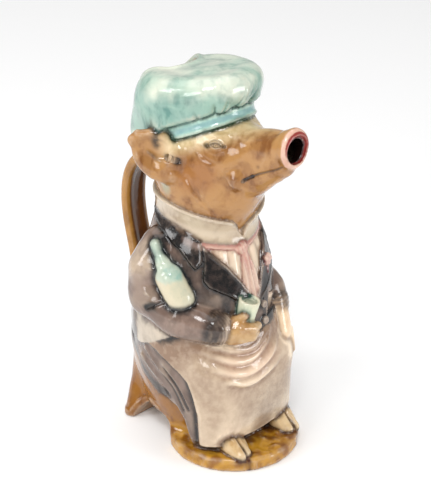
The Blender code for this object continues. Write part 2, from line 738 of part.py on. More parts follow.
def block_outside(bm):
    block_body(bm)
    add_drum(bm, NOSE, NOSE_RADIUS, NOSE_RADIUS, 4, (NOSE_TURN[0] - 90, 0, 0))
    for side in (1, -1):
        for line, radii in [(EAR_TOP, [3.5] * 6), (EAR_LOW, [2.6, 2.6, 3, 3, 4])]:
            add_limb(bm, [(side * x, y, z) for x, y, z in line], radii)
        add_ball(bm, (side * 35, 22.5, 191), (12, 4, 14), (0, 0, side * 51))
        add_limb(bm, [(side * 21, -16, 16), (side * 21, -34, 9)], [9, 5])
        add_limb(bm, [(side * 20, -12, 56), (side * 21, -8, 16)], [14, 14])
    add_limb(bm, RIGHT_SHOULDER, [13, 15, 14])
    add_limb(bm, RIGHT_FOREARM, [14, 13, 10.5])
    add_limb(bm, LEFT_SHOULDER, [12, 12.5, 11.5])
    add_limb(bm, LEFT_FOREARM, [11.5, 9.2])
    add_limb(bm, [(27.5, -14, 88), (24, -24, 62)], [7.5, 7])
    add_limb(bm, BOTTLE, [3.6, 3.8, 4.8, 8.6, 9.0])
    add_ball(bm, (-14, -26, 89), (12, 10, 9))
    for centre, radii in [FLOWER] + BUTTONS:
        add_ball(bm, centre, radii)
    add_drum(bm, (-9.5, -26, 98), 6, 6, 18)
    radius = BASE_RADIUS / UNIT
    thick = BASE_THICKNESS / UNIT
    add_drum(bm, (0, BASE_Y, (thick - SPARE) / 2), radius, radius, thick + SPARE)
    add_stack(bm, SADDLE)
    add_stack(bm, REAR_FOOT)
    half = STRAP_WIDTH / UNIT / 2
    add_box(bm, (0, 60, 38), (2 * half, 20, 76))
    for (ay, az), (by, bz) in zip(STRAP[:-1], STRAP[1:]):
        reach = math.hypot(by - ay, bz - az)
        lean = math.degrees(math.atan2(bz - az, by - ay))
        size = (2 * half, reach + 4, STRAP_THICKNESS / UNIT + 0.8)
        add_box(bm, (0, (ay + by) / 2, (az + bz) / 2), size, (lean, 0, 0))


def block_arch(bm):
    y, z, radius = ARCH
    add_drum(bm, (0, y, z), radius, radius, 140, (0, 90, 0))


def block_hollow(bm):
    block_body(bm, wall)
    bore = SPOUT_BORE / UNIT / 2
    add_limb(bm, SPOUT, [bore * 0.8, bore * 0.8, bore])
    wide = FILL_WIDTH / UNIT / 2
    deep = FILL_LENGTH / UNIT / 2
    add_drum(bm, FILL_MIDDLE, wide, deep, 34, FILL_TURN)


# From block to jug

def mesh_object(name, build, collection, scale=1.0):
    """An object whose mesh is built by a function on a bmesh."""
    bm = bmesh.new()
    build(bm)
    bmesh.ops.scale(bm, vec=(scale, scale, scale), verts=bm.verts)
    bmesh.ops.recalc_face_normals(bm, faces=bm.faces)
    mesh = bpy.data.meshes.new(name)
    bm.to_mesh(mesh)
    bm.free()
    obj = bpy.data.objects.new(name, mesh)
    collection.objects.link(obj)
    return obj


def settle_modifiers(obj):
    """Make an object's modifiers part of its mesh."""
    graph = bpy.context.evaluated_depsgraph_get()
    mesh = bpy.data.meshes.new_from_object(obj.evaluated_get(graph))
    obj.modifiers.clear()
    old = obj.data
    obj.data = mesh
    bpy.data.meshes.remove(old)


def remesh(obj, voxel):
    fuse = obj.modifiers.new("Fuse", "REMESH")
    fuse.mode = "VOXEL"
    fuse.voxel_size = voxel
    settle_modifiers(obj)


def subtract(obj, cutter):
    carve = obj.modifiers.new("Carve", "BOOLEAN")
    carve.operation = "DIFFERENCE"
    carve.solver = "EXACT"
    carve.object = cutter
    settle_modifiers(obj)
    bpy.data.objects.remove(cutter)


def settle(obj, form, rounds):
    """Move a mesh's points onto the skin of a form, with creases as soft as the mesh can hold."""
    mesh = obj.data
    flat = np.empty(len(mesh.vertices) * 3, dtype=np.float32)
    mesh.vertices.foreach_get("co", flat)
    p = flat.reshape(-1, 3).astype(float) / UNIT
    for _ in range(rounds):
        d, slope = distance_and_slope(form, p, CREASE)
        p = p - slope * np.clip(d, -4, 4)[:, None]
    mesh.vertices.foreach_set("co", (p * UNIT).astype(np.float32).ravel())
    mesh.update()


def relax(obj, rounds, amount):
    """Even out the spacing of a mesh's points."""
    bm = bmesh.new()
    bm.from_mesh(obj.data)
    for _ in range(rounds):
        bmesh.ops.smooth_vert(bm, verts=bm.verts, factor=amount,
                              use_axis_x=True, use_axis_y=True, use_axis_z=True)
    bm.to_mesh(obj.data)
    bm.free()


def flatten_underside(obj):
    """Cut the foot off level, so that it rests on a true plane."""
    bm = bmesh.new()
    bm.from_mesh(obj.data)
    geometry = bm.verts[:] + bm.edges[:] + bm.faces[:]
    made = bmesh.ops.bisect_plane(bm, geom=geometry, dist=1e-6, plane_co=(0, 0, 0), plane_no=(0, 0, -1),
                                  clear_outer=True)
    rim = [item for item in made["geom_cut"] if isinstance(item, bmesh.types.BMEdge)]
    bmesh.ops.triangle_fill(bm, use_beauty=True, use_dissolve=False, edges=rim)
    bmesh.ops.recalc_face_normals(bm, faces=bm.faces)
    bm.to_mesh(obj.data)
    bm.free()


def thin_out(obj, triangles):
    count = sum(len(face.vertices) - 2 for face in obj.data.polygons)
    thin = obj.modifiers.new("Thin", "DECIMATE")
    thin.ratio = triangles / count
    thin.use_collapse_triangulate = True
    settle_modifiers(obj)


def keep_largest(obj):
    """Drop the stray crumbs that thinning leaves beside the one body."""
    bm = bmesh.new()
    bm.from_mesh(obj.data)
    left = set(bm.verts)
    bodies = []
    while left:
        body = [left.pop()]
        for vert in body:
            linked = {edge.other_vert(vert) for edge in vert.link_edges} & left
            left -= linked
            body.extend(linked)
        bodies.append(body)
    bodies.sort(key=len)
    bmesh.ops.delete(bm, geom=[vert for body in bodies[:-1] for vert in body], context="VERTS")
    bm.to_mesh(obj.data)
    bm.free()


def glaze():
    material = bpy.data.materials.new("majolica glaze")
    material.use_nodes = True
    shader = material.node_tree.nodes["Principled BSDF"]
    shader.inputs["Base Color"].default_value = (0.55, 0.42, 0.28, 1)
    shader.inputs["Roughness"].default_value = 0.12
    shader.inputs["Metallic"].default_value = 0.0
    return material


def main():
    for obj in list(bpy.data.objects):
        bpy.data.objects.remove(obj)
    parts = bpy.data.collections.new("majolica jug")
    bpy.context.scene.collection.children.link(parts)

    body = mesh_object("jug", block_outside, parts, UNIT)
    remesh(body, COARSE_VOXEL)
    subtract(body, mesh_object("arch block", block_arch, parts, UNIT))
    inside = mesh_object("hollow block", block_hollow, parts, UNIT)
    remesh(inside, COARSE_VOXEL)
    settle(inside, hollow, 3)
    settle(body, outside, 3)
    subtract(body, inside)
    remesh(body, FINE_VOXEL)
    settle(body, jug, 2)
    remesh(body, FINE_VOXEL)
    relax(body, 1, 0.5)
    settle(body, jug, 2)
    thin_out(body, TRIANGLES)
    keep_largest(body)
    flatten_underside(body)
    body.data.materials.append(glaze())
    body.data.shade_smooth()
    body.data.set_sharp_from_angle(angle=math.radians(40))
    body.location = (0, -BASE_Y * UNIT, 0)


main()
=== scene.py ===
import math

import bmesh
import bpy
import numpy as np
from bpy.props import FloatProperty, FloatVectorProperty, PointerProperty
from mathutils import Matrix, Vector


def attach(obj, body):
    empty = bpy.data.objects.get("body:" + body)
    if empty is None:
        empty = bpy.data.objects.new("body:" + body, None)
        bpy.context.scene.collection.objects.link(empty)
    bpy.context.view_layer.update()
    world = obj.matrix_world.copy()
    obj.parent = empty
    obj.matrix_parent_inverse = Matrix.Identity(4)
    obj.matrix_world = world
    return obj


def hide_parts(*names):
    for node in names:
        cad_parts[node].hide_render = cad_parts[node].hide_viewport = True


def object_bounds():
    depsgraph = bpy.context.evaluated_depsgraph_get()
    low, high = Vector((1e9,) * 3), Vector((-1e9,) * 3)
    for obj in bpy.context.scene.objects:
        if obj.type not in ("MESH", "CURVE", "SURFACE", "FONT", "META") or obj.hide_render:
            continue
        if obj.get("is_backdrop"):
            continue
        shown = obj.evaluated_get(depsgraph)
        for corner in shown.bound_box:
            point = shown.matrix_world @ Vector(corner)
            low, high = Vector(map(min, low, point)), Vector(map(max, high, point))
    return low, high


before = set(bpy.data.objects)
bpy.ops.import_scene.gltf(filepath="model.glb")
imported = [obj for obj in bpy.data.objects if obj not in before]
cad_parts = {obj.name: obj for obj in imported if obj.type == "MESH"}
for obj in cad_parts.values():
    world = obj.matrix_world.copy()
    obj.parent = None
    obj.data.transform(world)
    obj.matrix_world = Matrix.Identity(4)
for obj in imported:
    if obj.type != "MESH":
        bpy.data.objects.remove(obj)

CAD_LOW, CAD_HIGH = (np.array(corner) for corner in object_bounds())

bl_info = {
    "name": "Majolica jug",
    "version": (1, 0, 0),
    "blender": (4, 5, 0),
    "location": "3D View > Sidebar > Majolica jug",
    "description": "Carves and glazes a seated pig waiter jug over its solid, and sets the stage for it",
    "category": "Add Mesh",
}

# The solid's own sizes in metres, as the carving is laid over it
SPOUT_BORE = 0.0142
SPOUT_LIP = 0.0033
FILL_WIDTH = 0.036
FILL_LENGTH = 0.030
BASE_RADIUS = 0.0400
BASE_THICKNESS = 0.0080
STRAP_WIDTH = 0.0170
STRAP_THICKNESS = 0.0056

# Figure units, where y runs from the snout to the handle
UNIT = 0.001           # metres in a figure unit
BASE_Y = -7.5          # y of the round ground's middle, which is the solid's origin
CLOTH = 2.2            # how far lapels and apron stand proud
EDGE = 0.8             # softness of a carved edge
SEAM = 0.5             # fillet where two forms meet
WALL_MIDDLE = 2.2      # depth below the outside at which a point counts as the inside's
FAR = 60.0             # stands for any distance that is too great to matter
AXIS_Y = 18.0          # the upright axis that the clothes are laid out around
GIRTH = 0.66           # units along the cloth for each degree around that axis
CREASE = 0.25          # how far around a point its form is felt while it settles
SETTLE_LIMIT = 1.5     # the furthest that a point moves in one round of settling
FLARE = 1.7            # how much the carving widens the snout's bore at the lip
CAD_MARGIN = 1e-5      # metres that the carving keeps inside the solid's box


# Clay tools

def dents(p, size, turn=0.0):
    """Soft irregular dents about that size, between -1 and 1."""
    x, y, z = (p / size).T
    a = np.sin(1.7 * x + 1.3 * np.sin(1.1 * y + turn) + turn)
    b = np.sin(1.9 * y + 1.2 * np.sin(1.3 * z + 2 * turn))
    c = np.sin(1.5 * z + 1.4 * np.sin(1.2 * x + 3 * turn))
    return (a * b + b * c + c * a) / 2.4


def turned(degrees):
    """Rotation matrix for turns about X, then Y, then Z."""
    x, y, z = (math.radians(d) for d in degrees)
    about_x = np.array([[1, 0, 0], [0, math.cos(x), -math.sin(x)], [0, math.sin(x), math.cos(x)]])
    about_y = np.array([[math.cos(y), 0, math.sin(y)], [0, 1, 0], [-math.sin(y), 0, math.cos(y)]])
    about_z = np.array([[math.cos(z), -math.sin(z), 0], [math.sin(z), math.cos(z), 0], [0, 0, 1]])
    return about_z @ about_y @ about_x


def local(p, centre, turn=(0, 0, 0)):
    """The points as seen from a centre and a turned set of axes."""
    return (p - np.array(centre, float)) @ turned(turn)


def ball(p, centre, radii, turn=(0, 0, 0)):
    """Distance to a ball with three radii."""
    q = local(p, centre, turn)
    r = np.array(radii, float)
    reach = np.linalg.norm(q / r, axis=1)
    slope = np.linalg.norm(q / (r * r), axis=1)
    return reach * (reach - 1) / np.maximum(slope, 1e-9)


def limb(p, joints, radii):
    """Distance to a rounded limb whose thickness runs from joint to joint."""
    pts = np.array(joints, float)
    best = np.full(len(p), FAR)
    for a, b, start, end in zip(pts[:-1], pts[1:], radii[:-1], radii[1:]):
        along = b - a
        t = np.clip((p - a) @ along / (along @ along), 0, 1)
        d = np.linalg.norm(p - a - t[:, None] * along, axis=1) - (start + (end - start) * t)
        best = np.minimum(best, d)
    return best


def blend(a, b, k):
    """The union of two forms with a fillet about k wide."""
    h = np.maximum(k - np.abs(a - b), 0) / k
    return np.minimum(a, b) - h * h * k * 0.25


def cut(a, b, k):
    """The first form with the second taken out of it."""
    return -blend(-a, b, k)


def both(a, b, k):
    """Only what lies in both forms."""
    return -blend(-a, -b, k)


def step(low, high, v):
    """0 below low, 1 above high, with a soft rise between."""
    t = np.clip((v - low) / (high - low), 0, 1)
    return t * t * (3 - 2 * t)


def ridge(d, width):
    """A rounded ridge, 1 on the line and 0 away from it."""
    return np.exp(-(d / width)**2)


def curve(keys, v):
    """Smooth values between keys, each a place followed by its values."""
    table = np.array(keys, float)
    x = table[:, 0]
    i = np.clip(np.searchsorted(x, v) - 1, 0, len(x) - 2)
    h = x[i + 1] - x[i]
    t = np.clip((v - x[i]) / h, 0, 1)
    out = []
    for column in table[:, 1:].T:
        slope = np.gradient(column, x)
        start = (2 * t**3 - 3 * t**2 + 1) * column[i] + (t**3 - 2 * t**2 + t) * h * slope[i]
        end = (3 * t**2 - 2 * t**3) * column[i + 1] + (t**3 - t**2) * h * slope[i + 1]
        out.append(start + end)
    return out


def smooth_line(points, parts=5):
    """A rounder line through the same points."""
    pts = np.array(points, float)
    place = np.arange(len(pts))
    fine = np.linspace(0, len(pts) - 1, (len(pts) - 1) * parts + 1)
    return [tuple(v) for v in np.array(curve(np.column_stack([place, pts]), fine)).T]


def oval_stack(p, keys, power=2.0, soft=4.0):
    """A solid with oval level sections; keys hold height, middle y, half width, half depth."""
    z = p[:, 2]
    middle, wide, deep = curve(keys, z)
    x, y = p[:, 0], p[:, 1] - middle
    reach = ((np.abs(x) / wide)**power + (np.abs(y) / deep)**power)**(1 / power)
    side = np.hypot(x, y) * (1 - 1 / np.maximum(reach, 1e-6))
    side = np.where(reach < 1e-3, -np.minimum(wide, deep), side)
    return both(side, np.maximum(keys[0][0] - z, z - keys[-1][0]), soft)


def line_distance(u, v, points):
    """Distance in a plane to an open line."""
    best = np.full(len(u), FAR)
    for (ax, ay), (bx, by) in zip(points[:-1], points[1:]):
        dx, dy = bx - ax, by - ay
        t = np.clip(((u - ax) * dx + (v - ay) * dy) / (dx * dx + dy * dy), 0, 1)
        best = np.minimum(best, np.hypot(u - ax - t * dx, v - ay - t * dy))
    return best


def within(u, v, outline):
    """Depth inside a closed outline in a plane, negative outside it."""
    inside = np.zeros(len(u), bool)
    closed = list(outline) + [outline[0]]
    for (ax, ay), (bx, by) in zip(closed[:-1], closed[1:]):
        if ay != by:
            crosses = (ay > v) != (by > v)
            inside ^= crosses & (u < ax + (v - ay) * (bx - ax) / (by - ay))
    d = line_distance(u, v, closed)
    return np.where(inside, d, -d)


def near_only(form):
    """Work a small form out only near it, given the box that holds it."""
    def bounded(low, high):
        def distance(p):
            d = np.full(len(p), FAR)
            near = np.all((p > np.array(low)) & (p < np.array(high)), axis=1)
            if near.any():
                d[near] = form(p[near])
            return d
        return distance
    return bounded


def mirrored(p):
    """The points folded onto the left side, so that a form stands on both sides."""
    q = p.copy()
    q[:, 0] = np.abs(q[:, 0])
    return q


def around(p):
    """Degrees from straight ahead, alike on both sides."""
    return np.degrees(np.arctan2(np.abs(p[:, 0]), AXIS_Y - p[:, 1]))


def side_on(p):
    """Degrees from straight ahead, minus on the figure's right."""
    return np.degrees(np.arctan2(p[:, 0], AXIS_Y - p[:, 1]))


def on_cloth(points):
    """An outline given in degrees and height, in units along the cloth."""
    return [(a * GIRTH, z) for a, z in points]


def level(points, v):
    """The straight-line height at a place between points."""
    return np.interp(v, [a for a, _ in points], [b for _, b in points])


def laid(points, form):
    """A line's points moved onto the skin of a form."""
    pts = np.array(smooth_line(points), float)
    for _ in range(4):
        d, slope = distance_and_slope(form, pts)
        pts = pts - slope * d[:, None]
    return pts


def trace_distance(p, line, reach=7.0):
    """Distance to a line through space, worked out only near it."""
    d = np.full(len(p), FAR)
    near = np.all((p > line.min(axis=0) - reach) & (p < line.max(axis=0) + reach), axis=1)
    if near.any():
        d[near] = limb(p[near], line, [0.0] * len(line))
    return d


def traced(p, points, parts=3):
    """Distance to a rounded line through space."""
    return trace_distance(p, np.array(smooth_line(points, parts)))


def distance_and_slope(form, p, reach=0.3):
    """A form's distance at the points and the direction in which it grows."""
    corners = np.array([[1, -1, -1], [-1, -1, 1], [-1, 1, -1], [1, 1, 1]], float)
    parts = [form(p + corner * reach) for corner in corners]
    slope = sum(corner * part[:, None] for corner, part in zip(corners, parts)) / (4 * reach)
    length = np.maximum(np.linalg.norm(slope, axis=1), 0.2)
    return sum(parts) / 4 / length, slope / length[:, None]


# Head

NOSE = (0, -51.0, 206.5)
NOSE_TURN = (-2.5, 0, 0)
NOSE_RADIUS = (SPOUT_BORE / 2 + SPOUT_LIP) / UNIT
LIP_ROLL = SPOUT_LIP / UNIT * 0.55
SPOUT = [(0, -30, 199), (0, -43, 202.5), (0, -58, 206)]
SKULL = ((0, 20, 180), (29, 33, 28))
JOWLS = ((0, 8, 167), (28, 29, 22))
BROW = ((0, 2, 192), (22, 25, 19))
NECK = ((0, 16, 152), (25, 27, 22))
SNOUT_TOP = ([(0, 0, 189), (0, -24, 198), (0, -50, 205.8)], [18, 12.2, 9.2])
JAW = ([(0, 4, 172), (0, -22, 182), (0, -42, 194)], [18, 12.3, 8.4])


def head_mass(p):
    """Skull, jowls, brow and neck in one."""
    d = blend(ball(p, *SKULL), ball(p, *JOWLS), 14)
    d = blend(d, ball(p, *BROW), 12)
    return blend(d, ball(p, *NECK), 12)


def snout(p):
    return blend(limb(p, *SNOUT_TOP), limb(p, *JAW), 8)


def lip(p):
    """The rolled rim around the snout's opening."""
    q = local(p, NOSE, NOSE_TURN)
    r = np.hypot(q[:, 0], q[:, 2])
    return np.hypot(r - NOSE_RADIUS + LIP_ROLL, q[:, 1]) - LIP_ROLL


def nose(p):
    """The snout's flared end with its rim."""
    q = local(p, NOSE, NOSE_TURN)
    r = np.hypot(q[:, 0], q[:, 2])
    flare = both(r - NOSE_RADIUS + 1.4, np.abs(q[:, 1] - 1.8) - 2.0, 2.5)
    return blend(flare, lip(p), 1.2)


EAR_TOP = [(25, 10, 193), (29, 14.5, 195.5), (32.5, 18.5, 201), (37, 24, 203.5), (41.5, 29.5, 203.5),
           (43, 32, 199.5)]
EAR_LOW = [(43, 32, 199.5), (41.3, 30, 192), (38.5, 26.5, 184.5), (35.5, 23, 179.5), (31, 17.5, 178)]
EAR_HOLE = [(25.5, 8.5, 188.5), (30.5, 13.0, 190), (36, 18.5, 191.5)]
EAR_FOLD = [(31, 12.5, 186), (34.5, 19, 188), (38.5, 24.5, 193)]
EAR_TURN = (0, 0, 51)
EAR_BOX = ((12, -5, 162), (56, 50, 218))


def left_ear(p):
    """A leaf with a rolled edge, hollow in front and open at its root."""
    rolled = limb(p, EAR_TOP, [3.6, 3.4, 3.2, 3.0, 2.7, 2.4])
    lower = limb(p, EAR_LOW, [2.4, 2.4, 2.5, 3.0, 4.2])
    flap = ball(p, (35.5, 22.5, 191.5), (12, 3.4, 14), EAR_TURN)
    d = blend(blend(rolled, lower, 3), flap, 3)
    d = blend(d, ball(p, (25, 19, 185), (9, 11, 13)), 6)
    d = blend(d, ball(p, (30.5, 12.5, 179.5), (3.2, 3.6, 4.2)), 1.5)
    d = cut(d, ball(p, (40.3, 19.2, 194), (9.5, 5.6, 9.5), EAR_TURN), 3)
    d = d - 0.7 * ridge(trace_distance(p, np.array(EAR_FOLD)), 1.2)
    return cut(d, limb(p, EAR_HOLE, [2.6, 2.4, 1.6]), 1.5)


def ears(p):
    return near_only(left_ear)(*EAR_BOX)(mirrored(p))


EYE = (18.3, -9.6, 200.6)
EYE_TURN = (0, -29, -26)
NOSTRIL = (11.5, -35, 193)
LID_HEIGHT, LID_REACH = 2.0, 4.3
CHEEK_FOLDS = [[(27.5, 4, 180), (27, -1, 173), (24.5, -6, 167), (21, -9, 161)],
               [(24.5, -1, 197), (22.5, -5, 193), (20, -10, 191)],
               [(17, -19, 178), (18.5, -16, 183), (17.5, -17, 187)]]
MOUTH = [(14, -23, 181), (12.3, -28, 184), (10.5, -34, 188), (8.5, -42, 192), (7, -50, 196)]
BAND_MIDDLE = (0, 19, 198)
BAND_TURN = (-24, 0, 0)
BAND_TOP = 8.0


def band_ring(q):
    """Distance to the band's upright oval, in the band's own axes."""
    return (np.hypot(q[:, 0] / 29.5, q[:, 1] / 35.5) - 1) * 31


def forehead(p):
    """The brow where it meets the cap's band."""
    q = local(p, BAND_MIDDLE, BAND_TURN)
    return both(band_ring(q) + 2.2, np.abs(q[:, 2] + 3) - 4, 3)


def bare_head(p):
    """The head before its ears, eyes and folds."""
    return blend(blend(blend(head_mass(p), snout(p), 10), forehead(p), 4), nose(p), 5)


def eye_plane(p):
    """Places along the eye's slit, up from it and off its plane, and the height of the upper lid there."""
    q = local(mirrored(p), EYE, EYE_TURN)
    along = q[:, 1]
    return along, q[:, 2], np.abs(q[:, 0]), LID_HEIGHT * (1 - (along / LID_REACH)**2)


def eye_relief(p):
    """The eyeball between its lids, with the hollows at its corners and the brow above."""
    along, up, off, lids = eye_plane(p)
    near = np.hypot(along, up)
    upper = ridge(up - lids, 0.6) * step(5.0, 3.8, np.abs(along))
    lower = ridge(up + 0.8 * lids, 0.5) * step(4.8, 3.6, np.abs(along))
    fold = ridge(up - lids - 1.5, 0.5) * step(5.8, 4.2, np.abs(along))
    ball_height = 0.6 * step(2.0, 0.6, near) - 0.35 * ridge(near - 1.0, 0.3)
    ear_corner = ridge(np.hypot(along - 5.0, up + 0.2), 1.1)
    snout_corner = ridge(np.hypot(along + 4.7, up - 0.1), 1.0)
    brow = 0.9 * ridge(up - 5.4 - 0.04 * along**2, 1.8) * step(11, 7, np.abs(along))
    bag = 0.5 * ridge(up + 4.2 - 0.05 * along**2, 1.0) * step(8, 5, np.abs(along))
    relief = 1.1 * np.maximum(upper, lower) + 0.5 * fold + ball_height + brow + bag
    relief = relief - 1.2 * ear_corner - 1.0 * snout_corner
    return relief * step(13, 9, near) * step(9, 5, off)


MOUTH_LINE = laid(MOUTH, bare_head)


def skin(p):
    """The whole head with its mouth, eyes, nostrils and cheek folds."""
    m = mirrored(p)
    d = blend(bare_head(p), ears(p), 3)
    d = blend(d, ball(m, (13.2, -20.5, 181.5), (4.0, 3.6, 4.6)), 4.5)
    d = d + 1.3 * ridge(trace_distance(m, MOUTH_LINE), 0.75) - eye_relief(p)
    d = d + 0.8 * ridge(np.linalg.norm(m - np.array(NOSTRIL), axis=1), 0.9)
    for fold in CHEEK_FOLDS:
        d = d + 0.6 * ridge(traced(m, fold), 1.3)
    return d + 0.25 * dents(p, 5.0)


# Cap

CAP_MIDDLE = (0, 23, 211)
CAP_TILT = (-11, 0, 0)
CAP_RIM = [(26 * math.sin(math.radians(a)), 20 - 28 * math.cos(math.radians(a)),
            227 + 3.5 * math.cos(math.radians(a))) for a in range(-135, 136, 15)]
CAP_RIM_ROLL = 8.0
# Degrees around, lean, and height over the band
CAP_TUCKS = [(-24, 0.5, 7), (-33, -0.3, 9), (-8, 0.8, 12), (2, 1.2, 14), (14, 0.6, 10), (-52, -0.6, 6),
             (30, 0.2, 8)]
CAP_BACK = ((0, 44, 191), (26, 21, 24))
BACK_SLOPE = np.array([0, 0.72, 0.69])
FILL_MIDDLE = (0, 46.5, 228.5)
FILL_TURN = (-37, 0, 0)


def cap_mass(p):
    """The cap's soft block, sloped off at the back where the jug is filled."""
    q = local(p, CAP_MIDDLE, CAP_TILT)
    reach = (np.hypot(q[:, 0] / 36, q[:, 1] / 37)**3.2 + np.abs(q[:, 2] / 24.5)**3.2)**(1 / 3.2)
    d = (reach - 1) * 26
    d = blend(d, limb(p, CAP_RIM, [CAP_RIM_ROLL] * len(CAP_RIM)), 6)
    d = blend(d, ball(p, *CAP_BACK), 12)
    return both(d, p @ BACK_SLOPE - 198.5, 10)


def fill_shape(p, grow=0.0):
    """The oval filling opening, or a wider oval around it."""
    q = local(p, FILL_MIDDLE, FILL_TURN)
    wide = FILL_WIDTH / UNIT / 2 + grow
    deep = FILL_LENGTH / UNIT / 2 + grow
    side = (np.hypot(q[:, 0] / wide, q[:, 1] / deep) - 1) * min(wide, deep)
    return both(side, np.abs(q[:, 2] - 2) - 18, 1)


def crown(p):
    """The soft crown, which ends at the band in front and hangs lower behind."""
    q = local(p, BAND_MIDDLE, BAND_TURN)
    return both(cap_mass(p), BAND_TOP - q[:, 2] - 60 * step(17, 31, p[:, 1]), 2)


def cap(p):
    """The crown with its pleats above the band and a roll around the filling opening."""
    height = local(p, BAND_MIDDLE, BAND_TURN)[:, 2]
    turn = side_on(p)
    pleats = np.cos(np.radians(turn) * 15) * step(50, 30, np.abs(turn))
    pleats = pleats * step(BAND_TOP + 14, BAND_TOP, height)
    d = crown(p)
    roll = both(fill_shape(p, 3.0), d - 0.9, 1.5)
    tucks = np.zeros(len(p))
    for place, lean, high in CAP_TUCKS:
        along = (turn - place - lean * (height - BAND_TOP)) * 0.5
        tucks = np.maximum(tucks, ridge(along, 0.7) * step(BAND_TOP + high, BAND_TOP + 1, height))
    puffs = 0.5 * dents(p, 15.0, 0.7) + 0.12 * dents(p, 6.5, 1.9)
    return blend(d - 0.6 * pleats + 0.9 * tucks * step(40, 20, p[:, 1]) - puffs, roll, 2)


def band(p):
    """The cap's band with a bead along each edge, which ends behind the ears."""
    q = local(p, BAND_MIDDLE, BAND_TURN)
    height = np.abs(q[:, 2] - BAND_TOP / 2) - BAND_TOP / 2
    beads = 0.6 * (ridge(q[:, 2] - 1.2, 1.0) + ridge(q[:, 2] - BAND_TOP + 1.2, 1.0))
    return both(both(band_ring(q) - beads + 0.3, height, 1.2), p[:, 1] - 22, 1.5)


# Coat, shirt and collar

TORSO = [(30, 20, 34.5, 45), (44, 22, 38, 46), (60, 20, 41, 46), (80, 18, 43, 46), (100, 18, 41, 42),
         (120, 18, 37.5, 37), (138, 18, 32, 31), (154, 20, 24, 26)]
V_EDGE = [(0, 100), (13, 114), (24, 123), (48, 139), (78, 147), (93, 149), (135, 152), (185, 153)]
UPPER_LAPEL = [(48, 139), (46.5, 134), (47, 129), (53, 125), (62, 131), (70, 135.5), (95, 143.5),
               (140, 149), (180, 150.5), (180, 156), (93, 152), (78, 150), (48, 141)]
LOWER_LAPEL = [(0, 99), (16, 105), (27, 110), (41, 115), (46, 119), (45.5, 127), (45.5, 133.5), (48, 139.5),
               (24, 126), (13, 117), (0, 103)]
COAT_HEM = [(-180, 68), (-140, 66), (-110, 67), (-95, 72), (-60, 88), (0, 84), (8, 86), (20, 101), (60, 92),
            (95, 72), (110, 67), (140, 66), (180, 68)]
TAPE = [(0, 134.5), (15, 136.0), (57, 140.5), (75, 144)]
COLLAR_TOP = [(0, 140), (3, 142), (9, 148), (17, 152.5), (26, 154.5), (42, 157), (66, 160), (90, 162),
              (180, 163)]
COLLAR_LOW = [(0, 136.5), (15, 137.5), (57, 141.5), (75, 145), (88, 149), (123, 151), (180, 152)]
TIE = [(-2.5, 133), (1.0, 133), (5.0, 118), (3.5, 108), (0, 100), (-3.5, 105), (-6.5, 114), (-5.0, 124)]
FLOWER = ((16.5, -18.0, 121), (4.4, 3.0, 4.4))
BUTTONS = [((6, -24.5, 97.5), (2.8, 2.6, 2.8)), ((5, -27, 88), (2.8, 2.6, 2.8))]
RIGHT_SHOULDER = [(-29, 24, 131), (-35, 26, 118), (-37, 24, 103)]
RIGHT_FOREARM = [(-37, 24, 103), (-36, 2, 95), (-27, -16, 91)]
LEFT_SHOULDER = [(27, 25, 132), (30, 23, 116), (31, 13, 102)]
LEFT_FOREARM = [(31, 13, 102), (28.5, -9, 95.5), (27.8, -12.5, 88.5)]
ELBOW_DART = [(-50.5, 15, 101), (-48.5, 10, 104), (-45.5, 5.5, 107), (-41, 1.5, 109)]
SLEEVE_FOLDS = [[(-48, 22, 112), (-50, 14, 109), (-46, 6, 112)],
                [(-46, 18, 92), (-44, 4, 88), (-36, -8, 86)],
                [(-44, 30, 122), (-46, 20, 124), (-44, 12, 124)],
                [(40, 20, 116), (42, 8, 110), (38, -2, 108)]]
ARMHOLE = np.array(smooth_line([(-24, 34, 150), (-32, 33, 148.5), (-38, 29, 146), (-43, 21, 140)]))


def torso(p):
    return oval_stack(p, TORSO)


def right_arm(p):
    return blend(limb(p, RIGHT_SHOULDER, [13, 15, 14]), limb(p, RIGHT_FOREARM, [14, 13, 10.5]), 4)


def left_arm(p):
    return blend(limb(p, LEFT_SHOULDER, [12, 12.5, 11.5]), limb(p, LEFT_FOREARM, [11.5, 9.4, 9.2]), 4)


def coat(p):
    """The coat's body, open in front and long behind, with its creased sleeves."""
    opening = p[:, 2] - level(V_EDGE, around(p))
    tail = level(COAT_HEM, side_on(p)) - p[:, 2]
    body = both(torso(p) - 0.6 - 0.35 * dents(p, 8.0, 0.4), np.maximum(opening, tail), EDGE / 2)
    body = body + 0.7 * ridge(trace_distance(p, ARMHOLE), 0.7)
    sleeves = np.minimum(right_arm(p), left_arm(p)) - 0.5 * dents(p, 6.5, 2.2)
    for fold in SLEEVE_FOLDS:
        sleeves = sleeves - 0.9 * ridge(traced(p, fold), 1.6)
    sleeves = sleeves + 1.6 * ridge(traced(p, ELBOW_DART), 0.9)
    return blend(body, sleeves, 1.4)


def lapels(p):
    """Two notched flaps on each side, with a bead along their edges."""
    u, z = around(p) * GIRTH, p[:, 2]
    flap = np.maximum(within(u, z, on_cloth(UPPER_LAPEL)), within(u, z, on_cloth(LOWER_LAPEL)))
    bead = 0.5 * ridge(flap - 0.9, 0.6)
    return both(torso(p) - CLOTH + 0.4 - bead, -flap, EDGE)


def shirt(p):
    """The pleated shirt front."""
    a = side_on(p)
    pleats = 0.4 * np.cos(np.radians(a) * 26) * step(40, 30, np.abs(a)) * step(3, 8, np.abs(a))
    return both(torso(p) + 0.6 - pleats, np.maximum(around(p) - 100, 96 - p[:, 2]), EDGE)


